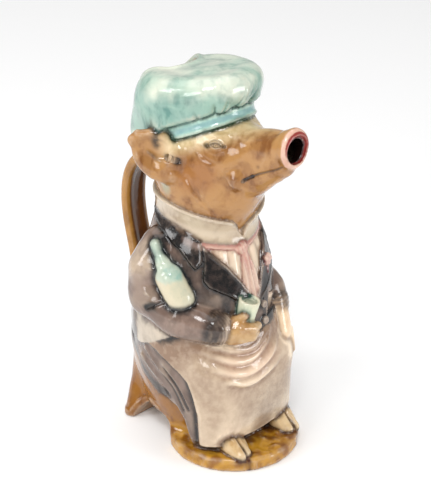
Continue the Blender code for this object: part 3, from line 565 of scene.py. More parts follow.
def collar(p):
    """The stand-up collar around the neck."""
    a, z = around(p), p[:, 2]
    edges = np.maximum(z - level(COLLAR_TOP, a), level(COLLAR_LOW, a) - z)
    lip_bead = 0.5 * ridge(z - level(COLLAR_TOP, a) + 1.0, 0.8)
    return both(blend(head_mass(p), torso(p), 4) - CLOTH + 0.3 - lip_bead, edges, EDGE)


def tie(p):
    """The tape around the collar, its knot and the hanging tail."""
    a, z = side_on(p), p[:, 2]
    strip = np.maximum(np.abs(z - level(TAPE, np.abs(a))) - 2.2, np.abs(a) - 70)
    tape = both(torso(p) - 1.2, strip, 2)
    knot = ball(p, (-2.0, -13.5, 134), (4.6, 4.2, 4.8))
    knot = knot - 0.5 * np.cos(1.6 * (a + 0.5 * z)) * ridge(z - 134, 4)
    folds = 0.5 * np.cos(1.1 * a + 0.06 * z)
    tail = both(torso(p) - 1.5 - folds, -within(a * GIRTH, z, TIE), 1)
    return blend(blend(tape, knot, 1.5), tail, 1.0)


def flower(p):
    """Five petals around an eye, at the left lapel."""
    x, y, z = FLOWER[0]
    d = ball(p, (x, y - 0.9, z), (1.3, 1.4, 1.3))
    for i in range(5):
        turn = 2 * math.pi * i / 5
        petal = (x + 2.4 * math.cos(turn), y + 0.8 * math.cos(turn), z + 2.4 * math.sin(turn))
        d = blend(d, ball(p, petal, (1.8, 1.8, 1.8)), 0.4)
    return blend(d, limb(p, [(x, y, z - 2), (x - 1, y - 1.5, z - 8)], [1.0, 0.8]), 0.5)


def buttons(p):
    """Two buttons, each with a rim and a sunk middle."""
    d = np.full(len(p), FAR)
    for centre, radii in BUTTONS:
        off = np.hypot(p[:, 0] - centre[0], p[:, 2] - centre[2])
        d = np.minimum(d, ball(p, centre, radii) + 0.5 * ridge(off, 1.1) - 0.2 * ridge(off - 1.8, 0.4))
    return d


# Bottle, glass and hands

BOTTLE = [(-39, 19, 137), (-39, 16, 131), (-39.5, 12.5, 126.5), (-39, 7.5, 119.5), (-37.5, 0.5, 108.5)]
RIGHT_CUFF = [(-26.5, -16.5, 91), (-25, -18.5, 90.6)]
LEFT_CUFF = [(27.8, -13.3, 87.5), (27.5, -14.3, 85.6)]


def bottle(p):
    return limb(p, BOTTLE, [3.6, 3.8, 4.8, 8.6, 9.0])


def glass(p):
    """A fluted tumbler, sunk at the top."""
    q = local(p, (-9.5, -26.0, 98.0), (12, 6, 0))
    r = np.hypot(q[:, 0], q[:, 1])
    flutes = 0.35 * np.cos(10 * np.arctan2(q[:, 1], q[:, 0])) * step(2, -6, q[:, 2])
    tumbler = both(r - 6.0 - 0.05 * q[:, 2] - flutes, np.abs(q[:, 2]) - 9.5, 1.0)
    return cut(tumbler, both(r - 4.9, 7.6 - q[:, 2], 0.6), 0.5)


def cuffs(p):
    right = limb(p, RIGHT_CUFF, [10.6, 9.6]) - 0.3 * np.cos(3.2 * p[:, 0])
    return np.minimum(right, limb(p, LEFT_CUFF, [9.4, 9.0]) - 0.25 * np.cos(2.6 * p[:, 2]))


def right_hand(p):
    d = ball(p, (-17.5, -24, 88.5), (10.5, 9.0, 8.8), (0, 0, -20))
    d = blend(d, limb(p, [(-18, -30.5, 92), (-10.5, -33, 90.5), (-5, -31, 89.5)], [3.4, 3.2, 2.6]), 2)
    d = blend(d, limb(p, [(-18, -30, 86), (-11, -32.5, 85), (-6, -30.5, 85)], [3.2, 3.0, 2.4]), 2)
    return blend(d, limb(p, [(-18, -26, 95), (-14.5, -29.5, 99)], [3.2, 2.4]), 2)


def left_hand(p):
    """The hand that rests on the apron, with four fingers."""
    d = limb(p, [(27.0, -14.5, 88), (24.5, -20.5, 71)], [7.8, 8.4])
    for i in range(4):
        x = 18.8 + 3.8 * i
        d = blend(d, limb(p, [(x + 1, -23.5, 70), (x, -27, 58)], [2.6, 2.2]), 1.6)
    return d


# Apron, trousers and shoes

LEGS = [(5, 2, 32, 22), (14, 1, 36, 27), (30, 0, 38, 30), (50, 4, 39, 34), (64, 10, 40, 40),
        (76, 16, 40, 43), (88, 18, 38, 41)]
APRON_EDGE = [(8, 49), (14, 49), (35, 50), (48, 54), (56, 58), (61, 67), (65, 78), (69, 89), (72, 104),
              (75, 125)]
APRON_HEM = [(0, 14), (5, 14), (13, 16), (20, 15.5), (27, 14), (36, 12.5), (49, 13), (60, 13)]
SEAT_LINE = [(0, 4), (45, 7), (50, 10), (55, 14), (58, 22), (62, 31), (70, 37), (87, 38), (102, 40),
             (117, 47), (124, 57), (140, 66), (180, 71)]
LAP_FOLDS = [[(-36, 78), (-24, 71), (-9, 69), (5, 75), (9, 80)],
             [(-36, 69), (-22, 63), (-7, 61), (8, 66), (16, 74)],
             [(-26, 59), (-16, 54.5), (-5, 53.5), (10, 58), (18, 64)],
             [(-30, 80), (-18, 76), (-6, 75), (6, 81)]]
LEG_FOLDS = [[(41, 27, 66), (40, 18, 57), (38, 6, 48), (36, -2, 36)],
             [(40, 33, 58), (38, 22, 49), (35, 10, 40)],
             [(40, 12, 60), (38, 2, 50), (36, -6, 38)]]


def legs(p):
    d = oval_stack(p, LEGS, 2.3)
    m = mirrored(p)
    thigh = limb(m, [(17, 12, 66), (20, -12, 56)], [19, 14])
    shin = limb(m, [(20, -12, 56), (21, -10, 16)], [13, 13])
    return blend(blend(d, thigh, 8), shin, 10)


LEG_CREASES = [laid([(x, y, z - 3.0) for x, y, z in fold], legs) for fold in LEG_FOLDS]


def lap(p):
    """The knees and lap under the apron, with the folds that sag between them."""
    d = legs(p)
    front = step(10, -6, p[:, 1]) * step(30, 12, np.abs(p[:, 0] + 10))
    for fold in LAP_FOLDS:
        sagging = smooth_line(fold, 4)
        off = line_distance(p[:, 0], p[:, 2], sagging)
        below = line_distance(p[:, 0], p[:, 2] + 3.0, sagging)
        d = d - (1.15 * ridge(off, 2.3) - 0.7 * ridge(below, 1.5)) * front
    return d - 0.35 * dents(p, 9.0, 1.1)


def apron(p):
    """The apron over the lap, with flutes down its front and a bead along its edge."""
    a, z = around(p), p[:, 2]
    edge = (a - level(APRON_EDGE, z)) * GIRTH
    flute = 0.9 * ridge(a - 30, 7) * step(46, 20, z)
    for place, width in ((12, 5), (44, 4), (20, 3)):
        flute = flute + 0.5 * ridge(a - place - 0.05 * z, width) * step(40, 18, z)
    hem = 0.4 * ridge(np.minimum(-edge, z - level(APRON_HEM, a)) - 0.8, 0.7)
    return both(lap(p) - CLOTH - flute - hem, np.maximum(edge, level(APRON_HEM, a) - z), EDGE)


def trousers(p):
    """The legs beside the apron and down to the seat, with their creases."""
    d = blend(legs(p), both(torso(p) + 0.4, p[:, 2] - 90, 2), 4)
    m = mirrored(p)
    for fold in LEG_FOLDS:
        d = d - 1.6 * ridge(traced(m, fold), 1.8)
    for crease in LEG_CREASES:
        d = d + 1.2 * ridge(trace_distance(m, crease), 1.1)
    return both(d, level(SEAT_LINE, around(p)) - 4 - p[:, 2], 1)


def shoes(p):
    """Cloven toes that come out from under the apron."""
    m = mirrored(p)
    d = limb(m, [(22.5, -20, 17), (23, -36, 9)], [8.5, 4.2])
    d = blend(d, limb(m, [(18.5, -22, 15), (18.5, -35, 8.5)], [7, 3.8]), 2)
    cleft = ridge(m[:, 0] - 21.5, 0.9) * step(-26, -32, p[:, 1])
    toes = 0.5 * ridge(np.abs(m[:, 0] - 21) - 5.2, 0.8) * step(-24, -30, p[:, 1])
    return d + 2.2 * cleft + toes


# Seat, ground and handle

SADDLE = [(-12, 20, 29, 37), (10, 20, 29.5, 38), (24, 20, 33, 43), (40, 22, 36, 46), (56, 24, 38, 46),
          (74, 23, 38, 45)]
REAR_FOOT = [(-12, 57, 30, 12), (7, 57, 30, 12.5), (14, 58, 26, 12), (24, 60, 18, 11), (36, 63, 12, 9),
             (44, 65, 10, 7)]
ARCH = (33.0, -4.0, 20.0)      # middle y, middle z and radius of the arch under the seat
STRAP = [(48, 166), (60, 169), (71.5, 165), (79, 153), (81.5, 138), (80, 122), (75.5, 103), (71.5, 82),
         (69, 60), (68, 32), (66, 8)]
STRAP_LINE = smooth_line(STRAP)


def ground(p):
    """The round ground, roughly faceted on top."""
    thick = BASE_THICKNESS / UNIT
    r = np.hypot(p[:, 0] + 0.5, p[:, 1] - BASE_Y)
    facets = 0.9 * dents(p * np.array([1, 1, 0.3]), 3.4, 0.9) * step(38, 33, r)
    return both(r - BASE_RADIUS / UNIT - 0.3 * dents(p, 3.5), p[:, 2] - thick - facets, 2.4)


def saddle(p):
    """The seat, which runs from the trousers down to the rim and back to the rear foot."""
    d = oval_stack(p, SADDLE)
    d = blend(d, ball(p, (0, 57, 32), (20, 10, 26)), 6)
    return both(d, p[:, 2] - level(SEAT_LINE, around(p)), 1.5)


def rear_foot(p):
    return oval_stack(p, REAR_FOOT, 2.0, 3.0)


def strap(p):
    """The handle, a flat strap with a raised bead along each edge."""
    half = STRAP_WIDTH / UNIT / 2
    thick = STRAP_THICKNESS / UNIT / 2
    bead = thick + 0.7
    off = line_distance(p[:, 1], p[:, 2], STRAP_LINE)
    d = both(off - thick, np.abs(p[:, 0]) - half, 2.5)
    d = blend(d, np.hypot(off, np.abs(p[:, 0]) - half + bead) - bead, 1.0)
    return blend(d, limb(p, [(0, 65, 60), (0, 68, 83)], [6, 4]), 3)


def under_arch(p):
    """Distance to the clear round under the seat, which runs from side to side."""
    y, z, radius = ARCH
    return np.hypot(p[:, 1] - y, p[:, 2] - z) - radius


def seat(p):
    """Seat, ground and rear foot in one, with the arch under them and a bead along its edge."""
    d = blend(blend(saddle(p), ground(p), 8), rear_foot(p), 14)
    arch = under_arch(p)
    beaded = d - 0.9 * step(5.0, 3.6, np.minimum(p[:, 2], arch)) * step(24, 30, p[:, 1])
    return cut(beaded - 0.3 * dents(p, 6.0, 0.3), arch, 1.2)


# Finished figure

PLACES = [
    ("skin", skin, (-70, -70, 132), (70, 70, 250)),
    ("cap", cap, (-60, -40, 160), (60, 85, 260)),
    ("band", band, (-50, -40, 180), (50, 40, 236)),
    ("coat", coat, (-75, -50, 50), (75, 90, 172)),
    ("lapels", lapels, (-60, -45, 90), (60, 70, 168)),
    ("shirt", shirt, (-50, -45, 86), (50, 50, 165)),
    ("collar", collar, (-50, -40, 124), (50, 75, 175)),
    ("tie", tie, (-40, -30, 95), (40, 30, 150)),
    ("apron", apron, (-65, -60, 2), (65, 50, 90)),
    ("trousers", trousers, (-65, -55, -2), (65, 90, 100)),
    ("seat", seat, (-65, -65, -20), (65, 90, 85)),
    ("strap", strap, (-25, 35, -20), (25, 100, 190)),
    ("flower", flower, (8, -28, 112), (25, -10, 130)),
    ("buttons", buttons, (-2, -34, 80), (14, -18, 104)),
    ("bottle", bottle, (-56, -18, 92), (-22, 32, 148)),
    ("glass", glass, (-22, -42, 82), (4, -12, 114)),
    ("cuffs", cuffs, (-44, -34, 74), (44, 8, 108)),
    ("right hand", right_hand, (-34, -42, 74), (4, -8, 108)),
    ("left hand", left_hand, (10, -36, 50), (42, 0, 102)),
    ("shoes", shoes, (-36, -46, -4), (36, -4, 32)),
]
PLACE_NAMES = [name for name, _, _, _ in PLACES]
FORMS = [near_only(form)(low, high) for _, form, low, high in PLACES]


def outside(p):
    """The whole figure, without its hollow."""
    d = FORMS[0](p)
    for form in FORMS[1:]:
        d = blend(d, form(p), SEAM)
    return both(d, -p[:, 2], 0.3)


def openings(p):
    """The snout's bore and the filling opening, which the carving leaves open."""
    bore = SPOUT_BORE / UNIT / 2
    inner = 0.8 * bore
    return np.minimum(limb(p, SPOUT, [inner, inner, bore + FLARE]), fill_shape(p))


def shell(p):
    """The figure's skin, open where the jug is."""
    return cut(outside(p), openings(p), 1.2)


# Mesh tools

def vectors_of(mesh, field):
    """The three numbers of a field, such as co or normal, for every point of a mesh."""
    flat = np.empty(len(mesh.vertices) * 3, dtype=np.float32)
    mesh.vertices.foreach_get(field, flat)
    return flat.reshape(-1, 3).astype(float)


def points_of(mesh):
    return vectors_of(mesh, "co")


def put_points(mesh, p):
    mesh.vertices.foreach_set("co", p.astype(np.float32).ravel())
    mesh.update()


def apply_modifiers(obj):
    """Make an object's modifiers part of its mesh."""
    graph = bpy.context.evaluated_depsgraph_get()
    mesh = bpy.data.meshes.new_from_object(obj.evaluated_get(graph))
    obj.modifiers.clear()
    old = obj.data
    obj.data = mesh
    bpy.data.meshes.remove(old)


def remesh(obj, voxel):
    fuse = obj.modifiers.new("Fuse", "REMESH")
    fuse.mode = "VOXEL"
    fuse.voxel_size = voxel
    apply_modifiers(obj)


def thin_out(obj, triangles):
    """Bring a mesh down to about that many triangles, where it is flattest first."""
    count = sum(len(face.vertices) - 2 for face in obj.data.polygons)
    if count <= triangles:
        return
    thin = obj.modifiers.new("Thin", "DECIMATE")
    thin.ratio = triangles / count
    thin.use_collapse_triangulate = True
    apply_modifiers(obj)


def settle(obj, form, rounds):
    """Move the points of the outside, and no others, onto the skin of a form."""
    p = points_of(obj.data)
    outer = outside(p) > -WALL_MIDDLE
    q = p[outer]
    for _ in range(rounds):
        d, slope = distance_and_slope(form, q, CREASE)
        q = q - slope * np.clip(d, -SETTLE_LIMIT, SETTLE_LIMIT)[:, None]
    q[:, 2] = np.maximum(q[:, 2], 0.0)
    p[outer] = q
    put_points(obj.data, p)


def refine(obj, places):
    """Split the mesh's edges once more near small features; places are centres and radii."""
    bm = bmesh.new()
    bm.from_mesh(obj.data)
    p = points_of(obj.data)
    near = np.zeros(len(p), bool)
    for centre, radius in places:
        near |= np.linalg.norm(mirrored(p) - np.array(centre), axis=1) < radius
    edges = [edge for edge in bm.edges if near[edge.verts[0].index] and near[edge.verts[1].index]]
    bmesh.ops.subdivide_edges(bm, edges=edges, cuts=1)
    bmesh.ops.triangulate(bm, faces=bm.faces)
    bm.to_mesh(obj.data)
    bm.free()


def edge_ends(mesh):
    """The two points of every edge."""
    ends = np.empty(len(mesh.edges) * 2, dtype=np.int32)
    mesh.edges.foreach_get("vertices", ends)
    return ends.reshape(-1, 2)


def averaged(values, ends, rounds):
    """Each point's value, evened out with its neighbours'."""
    values = np.asarray(values, float)
    a, b = ends.T
    count = len(values)
    near = np.maximum(np.bincount(a, minlength=count) + np.bincount(b, minlength=count), 1)
    columns = values.reshape(count, -1).copy()
    for _ in range(rounds):
        for i in range(columns.shape[1]):
            v = columns[:, i]
            total = np.bincount(a, v[b], count) + np.bincount(b, v[a], count)
            columns[:, i] = 0.5 * v + 0.5 * total / near
    return columns.reshape(values.shape)


def hollowness(mesh, rounds):
    """How far each point lies below its surroundings."""
    p = points_of(mesh)
    ends = edge_ends(mesh)
    return np.sum((averaged(p, ends, rounds) - p) * vectors_of(mesh, "normal"), axis=1)


# Glaze colours: the first and second tint that mottle each other, and the tint where glaze pools and where
# shade is painted

TINTS = {
    "skin": ((0.42, 0.210, 0.066), (0.20, 0.070, 0.012), (0.020, 0.007, 0.002)),
    "cap": ((0.27, 0.42, 0.35), (0.070, 0.19, 0.17), (0.005, 0.035, 0.030)),
    "band": ((0.44, 0.66, 0.56), (0.30, 0.54, 0.47), (0.006, 0.042, 0.022)),
    "coat": ((0.150, 0.096, 0.074), (0.27, 0.185, 0.145), (0.004, 0.003, 0.003)),
    "lapels": ((0.145, 0.090, 0.074), (0.22, 0.150, 0.122), (0.003, 0.002, 0.002)),
    "shirt": ((0.76, 0.63, 0.48), (0.64, 0.50, 0.37), (0.26, 0.15, 0.09)),
    "collar": ((0.58, 0.47, 0.34), (0.42, 0.32, 0.23), (0.07, 0.035, 0.02)),
    "tie": ((0.58, 0.33, 0.26), (0.46, 0.19, 0.155), (0.24, 0.045, 0.04)),
    "apron": ((0.88, 0.72, 0.53), (0.76, 0.60, 0.44), (0.26, 0.16, 0.10)),
    "trousers": ((0.135, 0.088, 0.068), (0.22, 0.150, 0.118), (0.003, 0.002, 0.002)),
    "seat": ((0.29, 0.115, 0.012), (0.15, 0.042, 0.003), (0.015, 0.004, 0.001)),
    "strap": ((0.42, 0.20, 0.04), (0.30, 0.13, 0.02), (0.05, 0.015, 0.003)),
    "strap middle": ((0.13, 0.042, 0.007), (0.08, 0.025, 0.004), (0.03, 0.009, 0.002)),
    "flower": ((0.66, 0.42, 0.35), (0.48, 0.20, 0.17), (0.10, 0.02, 0.02)),
    "buttons": ((0.34, 0.25, 0.20), (0.22, 0.16, 0.13), (0.006, 0.004, 0.004)),
    "bottle": ((0.63, 0.56, 0.40), (0.50, 0.50, 0.37), (0.006, 0.010, 0.013)),
    "glass": ((0.66, 0.67, 0.49), (0.54, 0.60, 0.44), (0.005, 0.050, 0.032)),
    "cuffs": ((0.46, 0.34, 0.25), (0.33, 0.24, 0.18), (0.03, 0.015, 0.01)),
    "right hand": ((0.52, 0.33, 0.15), (0.38, 0.19, 0.055), (0.06, 0.022, 0.006)),
    "left hand": ((0.90, 0.70, 0.48), (0.78, 0.56, 0.36), (0.12, 0.05, 0.02)),
    "shoes": ((0.68, 0.50, 0.28), (0.50, 0.31, 0.13), (0.05, 0.02, 0.007)),
    "ground": ((0.52, 0.26, 0.024), (0.26, 0.095, 0.004), (0.070, 0.016, 0.001)),
    "inside": ((0.56, 0.43, 0.29), (0.50, 0.37, 0.24), (0.25, 0.15, 0.08)),
    # Pale patches of glaze, also used for a painted highlight on the left sleeve.
    "sleeve patch": ((0.54, 0.42, 0.31), (0.34, 0.26, 0.20), (0.010, 0.007, 0.006)),
    "bottle neck": ((0.50, 0.57, 0.46), (0.27, 0.44, 0.37), (0.005, 0.014, 0.016)),
    "stripe": ((0.24, 0.42, 0.42), (0.33, 0.52, 0.49), (0.006, 0.042, 0.025)),
    "snout rim": ((0.70, 0.45, 0.34), (0.60, 0.33, 0.24), (0.25, 0.05, 0.04)),
    "snout ring": ((0.28, 0.035, 0.028), (0.20, 0.018, 0.015), (0.10, 0.008, 0.008)),
    # The bore's near-black is painted shade down the spout's hole.
    "bore": ((0.010, 0.004, 0.003), (0.006, 0.002, 0.002), (0.004, 0.002, 0.002)),
    "iris": ((0.58, 0.40, 0.20), (0.46, 0.30, 0.14), (0.04, 0.014, 0.006)),
    "lap": ((0.84, 0.62, 0.45), (0.74, 0.52, 0.38), (0.34, 0.20, 0.13)),
    "forehead": ((0.84, 0.70, 0.44), (0.62, 0.46, 0.22), (0.02, 0.04, 0.012)),
    "cheek": ((0.30, 0.105, 0.018), (0.17, 0.055, 0.008), (0.02, 0.006, 0.002)),
    "cream": ((0.78, 0.80, 0.66), (0.52, 0.60, 0.50), (0.05, 0.12, 0.09)),
    "grey": ((0.68, 0.58, 0.46), (0.52, 0.44, 0.35), (0.14, 0.11, 0.09)),
    "brown patch": ((0.24, 0.085, 0.008), (0.16, 0.05, 0.005), (0.06, 0.014, 0.002)),
    "teal run": ((0.30, 0.50, 0.40), (0.18, 0.38, 0.30), (0.03, 0.08, 0.05)),
}

GLAZE = {name: i for i, name in enumerate(TINTS)}

# Pairs of neighbours whose meeting line holds pooled glaze: how dark, and how wide in figure units
LINES = {
    ("bottle", "coat"): (1.0, 2.3), ("glass", "coat"): (1.0, 2.2), ("glass", "right hand"): (0.8, 1.3),
    ("lapels", "coat"): (1.0, 2.0), ("lapels", "shirt"): (0.9, 1.3), ("collar", "skin"): (0.6, 1.0),
    ("collar", "lapels"): (0.9, 1.2), ("collar", "coat"): (0.9, 1.2), ("cuffs", "coat"): (0.7, 1.0),
    ("cuffs", "right hand"): (0.5, 0.9), ("cuffs", "left hand"): (0.5, 0.9), ("band", "skin"): (1.0, 1.7),
    ("band", "cap"): (1.0, 1.3), ("cap", "skin"): (1.0, 1.5), ("buttons", "coat"): (1.0, 1.2),
    ("shoes", "ground"): (1.0, 1.3), ("shoes", "apron"): (1.0, 1.6), ("shoes", "trousers"): (1.0, 1.4),
    ("apron", "trousers"): (1.0, 2.4), ("apron", "seat"): (1.0, 1.3), ("seat", "trousers"): (1.0, 2.2),
    ("seat", "coat"): (1.0, 1.3), ("tie", "shirt"): (0.6, 1.0), ("tie", "collar"): (0.6, 1.0),
    ("flower", "lapels"): (1.0, 1.1), ("flower", "coat"): (1.0, 1.1), ("strap", "coat"): (0.7, 1.5),
    ("right hand", "coat"): (1.0, 1.5), ("right hand", "apron"): (0.8, 1.1),
    ("left hand", "apron"): (0.6, 1.0), ("left hand", "coat"): (1.0, 1.2),
    ("apron", "coat"): (0.8, 1.0), ("coat", "trousers"): (0.8, 1.2),
    ("glass", "lapels"): (1.0, 1.5), ("glass", "shirt"): (0.9, 1.3), ("coat", "shirt"): (1.0, 1.2),
    ("ground", "apron"): (1.0, 1.4), ("seat", "strap"): (0.6, 1.2), ("trousers", "ground"): (1.0, 1.5),
    ("seat", "ground"): (0.35, 1.0), ("strap", "cap"): (0.6, 1.2),
}


def glazes_at(p):
    """Which glaze covers each point, with painted shade down the snout's bore, and the line strength between
    neighbours.
    """
    wobble = 0.15 * np.column_stack([dents(p, 3.0, turn) for turn in (0.2, 1.4, 2.7)])
    q = p + wobble
    distances = np.array([form(q) for form in FORMS])
    order = np.argsort(distances, axis=0)
    places = np.arange(len(p))
    first, second = order[0], order[1]
    gap = distances[second, places] - distances[first, places]
    place_glaze = np.array([GLAZE[name] for name in PLACE_NAMES])
    glaze, beside = place_glaze[first], place_glaze[second]

    def cover(name, where):
        glaze[where] = GLAZE[name]

    level_ground = (ground(q) < saddle(q) + 0.3) & (p[:, 1] < 32) & (p[:, 2] < 10.5)
    cover("ground", (glaze == GLAZE["seat"]) & level_ground)
    beside[(beside == GLAZE["seat"]) & level_ground] = GLAZE["ground"]
    strength = np.zeros(len(p))
    for (one, other), (dark, width) in LINES.items():
        i, k = GLAZE[one], GLAZE[other]
        met = ((glaze == i) & (beside == k)) | ((glaze == k) & (beside == i))
        strength = np.maximum(strength, np.where(met, dark * step(1.5 * width, 0.4 * width, gap), 0))

    in_band = local(p, BAND_MIDDLE, BAND_TURN)[:, 2]
    cover("stripe", (glaze == GLAZE["band"]) & (np.abs(in_band - 3.9) < 1.5))
    cover("bottle neck", (glaze == GLAZE["bottle"]) & (q[:, 2] > 122 + 0.25 * (q[:, 0] + 39)))
    cover("strap middle", (glaze == GLAZE["strap"]) & (np.abs(p[:, 0]) < STRAP_WIDTH / UNIT / 2 - 2.6))
    skirt = (torso(p) + 1.5 < right_arm(p)) & (p[:, 0] < -18) & (p[:, 1] < 36) & (p[:, 2] < 97)
    skirt &= glaze == GLAZE["coat"]
    cover("grey", skirt)
    strength[skirt] *= 0.25
    is_skin = glaze == GLAZE["skin"]
    n = local(p, NOSE, NOSE_TURN)
    r = np.hypot(n[:, 0], n[:, 2])
    tip = is_skin & (n[:, 1] < 4) & (r < NOSE_RADIUS + 1.5)
    cover("snout rim", tip & (n[:, 1] < -0.7) & (r > NOSE_RADIUS - 1.6))
    cover("snout ring", tip & (r < NOSE_RADIUS - 1.0) & (n[:, 1] < 2.5))
    # Painted shade: the bore and its inner walls are coloured near-black where the hole lies in shade.
    bore = limb(p, SPOUT, [SPOUT_BORE / UNIT / 2] * 3)
    depth = outside(p)
    in_snout = p[:, 1] < -30
    cover("bore", in_snout & ((bore < 0.2) | (bore < 3) & (depth < -0.8) & (n[:, 1] > 1)))
    along, up, off, _ = eye_plane(p)
    near = np.hypot(along, up)
    cover("iris", is_skin & (near < 1.9) & (off < 5))
    inner = depth < -WALL_MIDDLE
    cover("inside", inner & (glaze != GLAZE["bore"]))
    strength[inner] = 0
    return glaze, strength


def washes(p, glaze):
    """Softer changes of glaze inside a zone, with a painted highlight on the cap's top and on the left
    sleeve: the zone, the glaze that takes over, and its share.
    """
    in_band = local(p, BAND_MIDDLE, BAND_TURN)[:, 2]
    m = mirrored(p)
    patch = ball(p, (-44, 26, 124), (9, 9, 15)) - 1.5 * dents(p, 5.0)
    sag = ball(p, (-8, -20, 66), (22, 30, 12)) + 2.0 * dents(p, 7.0)
    cheek = ball(m, (24, 2, 184), (12, 16, 13)) + 3 * dents(p, 9.0)
    clouds = dents(p * np.array([1, 1, 1.3]), 13.0, 0.5) + 0.4 * dents(p, 5.0, 1.2)
    # Painted highlight: the cap's top turns cream above a wavy height.
    cap_top_highlight = 0.75 * step(222, 234, p[:, 2] + 5 * clouds)
    found = [
        ("skin", "forehead", 0.85 * step(-13, -2, in_band + 2 * dents(p, 6.0)) * step(24, 10, p[:, 1])),
        ("skin", "cheek", 0.7 * step(3, -6, cheek)),
        ("skin", "teal run", 0.4 * step(1.5, -1.5, ball(m, (32, 20, 170), (4, 5, 5)))),
        ("cap", "cream", 0.9 * np.maximum(step(0.05, 0.7, clouds), cap_top_highlight)),
        ("cap", "teal run", 0.5 * step(0.1, -0.6, clouds)),
        ("coat", "sleeve patch", 0.9 * step(2.0, -3.0, patch)),
        # Painted highlight: a pale patch on the upper left sleeve.
        ("coat", "sleeve patch", 0.8 * step(3, -2, ball(p, (36, 12, 110), (8, 12, 7)))),
        ("coat", "sleeve patch", 0.3 * step(-0.1, 0.6, dents(p, 9.0, 2.1))),
        ("lapels", "sleeve patch", 0.2 * step(0.0, 0.6, dents(p, 7.0, 0.9))),
        ("trousers", "sleeve patch", 0.25 * step(0.0, 0.6, dents(p, 7.0, 1.7))),
        ("apron", "lap", 0.8 * step(4, -6, sag)),
        ("apron", "grey", 0.45 * step(58, 20, p[:, 2]) * step(-30, 10, p[:, 0])),
        ("ground", "brown patch", 0.9 * step(0.0, 0.45, dents(p, 4.2, 2.4))),
        ("seat", "brown patch", 0.55 * step(0.1, 0.6, dents(p * np.array([1, 1, 0.5]), 6.0, 1.3))),
        ("seat", "ground", 0.8 * step(20, 8, p[:, 2]) * step(30, 15, p[:, 1])),
        ("right hand", "brown patch", 0.6 * step(0, -5, ball(p, (-20, -27, 86), (7, 7, 7)))),
        ("tie", "shirt", 0.45 * step(128, 118, p[:, 2])),
        ("shirt", "lap", 0.45 * step(0.0, 0.5, dents(p, 6.0, 0.6))),
    ]
    return [(glaze == GLAZE[zone], GLAZE[over], share) for zone, over, share in found]


def eye_lines(p):
    """Dark glaze along the lids and around the iris, and painted shade in the eye's corners."""
    along, up, off, lids = eye_plane(p)
    near = np.hypot(along, up)
    slit = 0.9 * step(0.75, 0.25, np.abs(up - lids + 0.75)) * step(4.4, 3.6, np.abs(along))
    under = 0.6 * step(0.6, 0.2, np.abs(up + 0.8 * lids - 0.7)) * step(4.2, 3.2, np.abs(along))
    crease = 0.55 * step(0.8, 0.2, np.abs(up - lids - 1.0)) * step(5.4, 4.2, np.abs(along))
    ring = 0.85 * step(0.5, 0.15, np.abs(near - 1.35))
    pupil = 0.8 * step(0.65, 0.3, near)
    # Painted shade in the hollows at the eye's corners.
    corners = np.maximum(0.95 * step(2.3, 0.6, np.hypot((along - 5.2) * 0.7, up + 0.5)),
                         0.85 * step(1.6, 0.5, np.hypot((along + 4.8) * 0.8, up - 0.1)))
    return 0.75 * np.maximum.reduce([slit, under, crease, ring, pupil, corners]) * step(6, 3, off)


def pleat_lines(p):
    """Thin shade between the shirt's pleats."""
    turn = side_on(p)
    pleats = step(0.80, 0.98, np.cos(np.radians(turn) * 26 + math.pi)) * step(3, 7, np.abs(turn))
    pleats = 0.5 * pleats * (np.abs(torso(p) + 0.6) < 1.0) * step(40, 34, np.abs(turn))
    return pleats * step(98, 102, p[:, 2]) * step(140, 134, p[:, 2]) * (p[:, 1] < 5)


def drawn_lines(p):
    """Lines of dark glaze that aren't a seam: the mouth, the eyes, folds and the hooves, with painted shade
    between the shirt's pleats, in the eye's corners and in the ear's hole.
    """
    m = mirrored(p)
    dart = np.array(smooth_line(ELBOW_DART, 3))
    # Painted shade: the ear's hole is filled near-black where it lies in shade.
    ear_hole_shade = np.linalg.norm(m - np.array(EAR_HOLE[0]) - (2.5, 2.2, 0.4), axis=1)
    cleft = step(1.3, 0.5, np.abs(m[:, 0] - 21.5)) * step(-24, -29, p[:, 1]) * step(16, 12, p[:, 2])
    found = [
        eye_lines(p),
        # Painted shade between the shirt's pleats.
        pleat_lines(p),
        cleft,
        step(0.95, 0.4, trace_distance(m, MOUTH_LINE)) * step(-54, -48, p[:, 1]),
        step(1.4, 0.7, trace_distance(m, MOUTH_LINE[:9])),
        0.9 * step(1.4, 0.5, np.linalg.norm(m - np.array(NOSTRIL), axis=1)),
        step(1.5, 0.5, trace_distance(p, dart)),
        step(3.2, 1.6, trace_distance(p, dart[:3])),
        0.8 * step(1.3, 0.4, trace_distance(p, ARMHOLE)),
        0.35 * step(1.5, 0.4, traced(m, EAR_FOLD)),
        # Painted shade in the ear's hole.
        0.95 * step(4.4, 2.6, ear_hole_shade),
    ]
    found += [0.9 * step(1.7, 0.4, trace_distance(m, crease)) for crease in LEG_CREASES]
    return np.maximum.reduce(found)


# How much each glaze shows of the dark glaze that pools in creases and of the painted shade in broad hollows,
# where it isn't all of it
POOLING_AND_SHADE = {"coat": 0.7, "lapels": 0.45, "cap": 0.8, "seat": 0.8, "shirt": 0.5, "apron": 0.35, "lap": 0.5,
           "inside": 0.1, "collar": 0.5, "skin": 0.75, "snout rim": 0.4, "left hand": 0.5, "right hand": 0.6,
           "bottle": 0.5, "bottle neck": 0.5, "glass": 0.7}


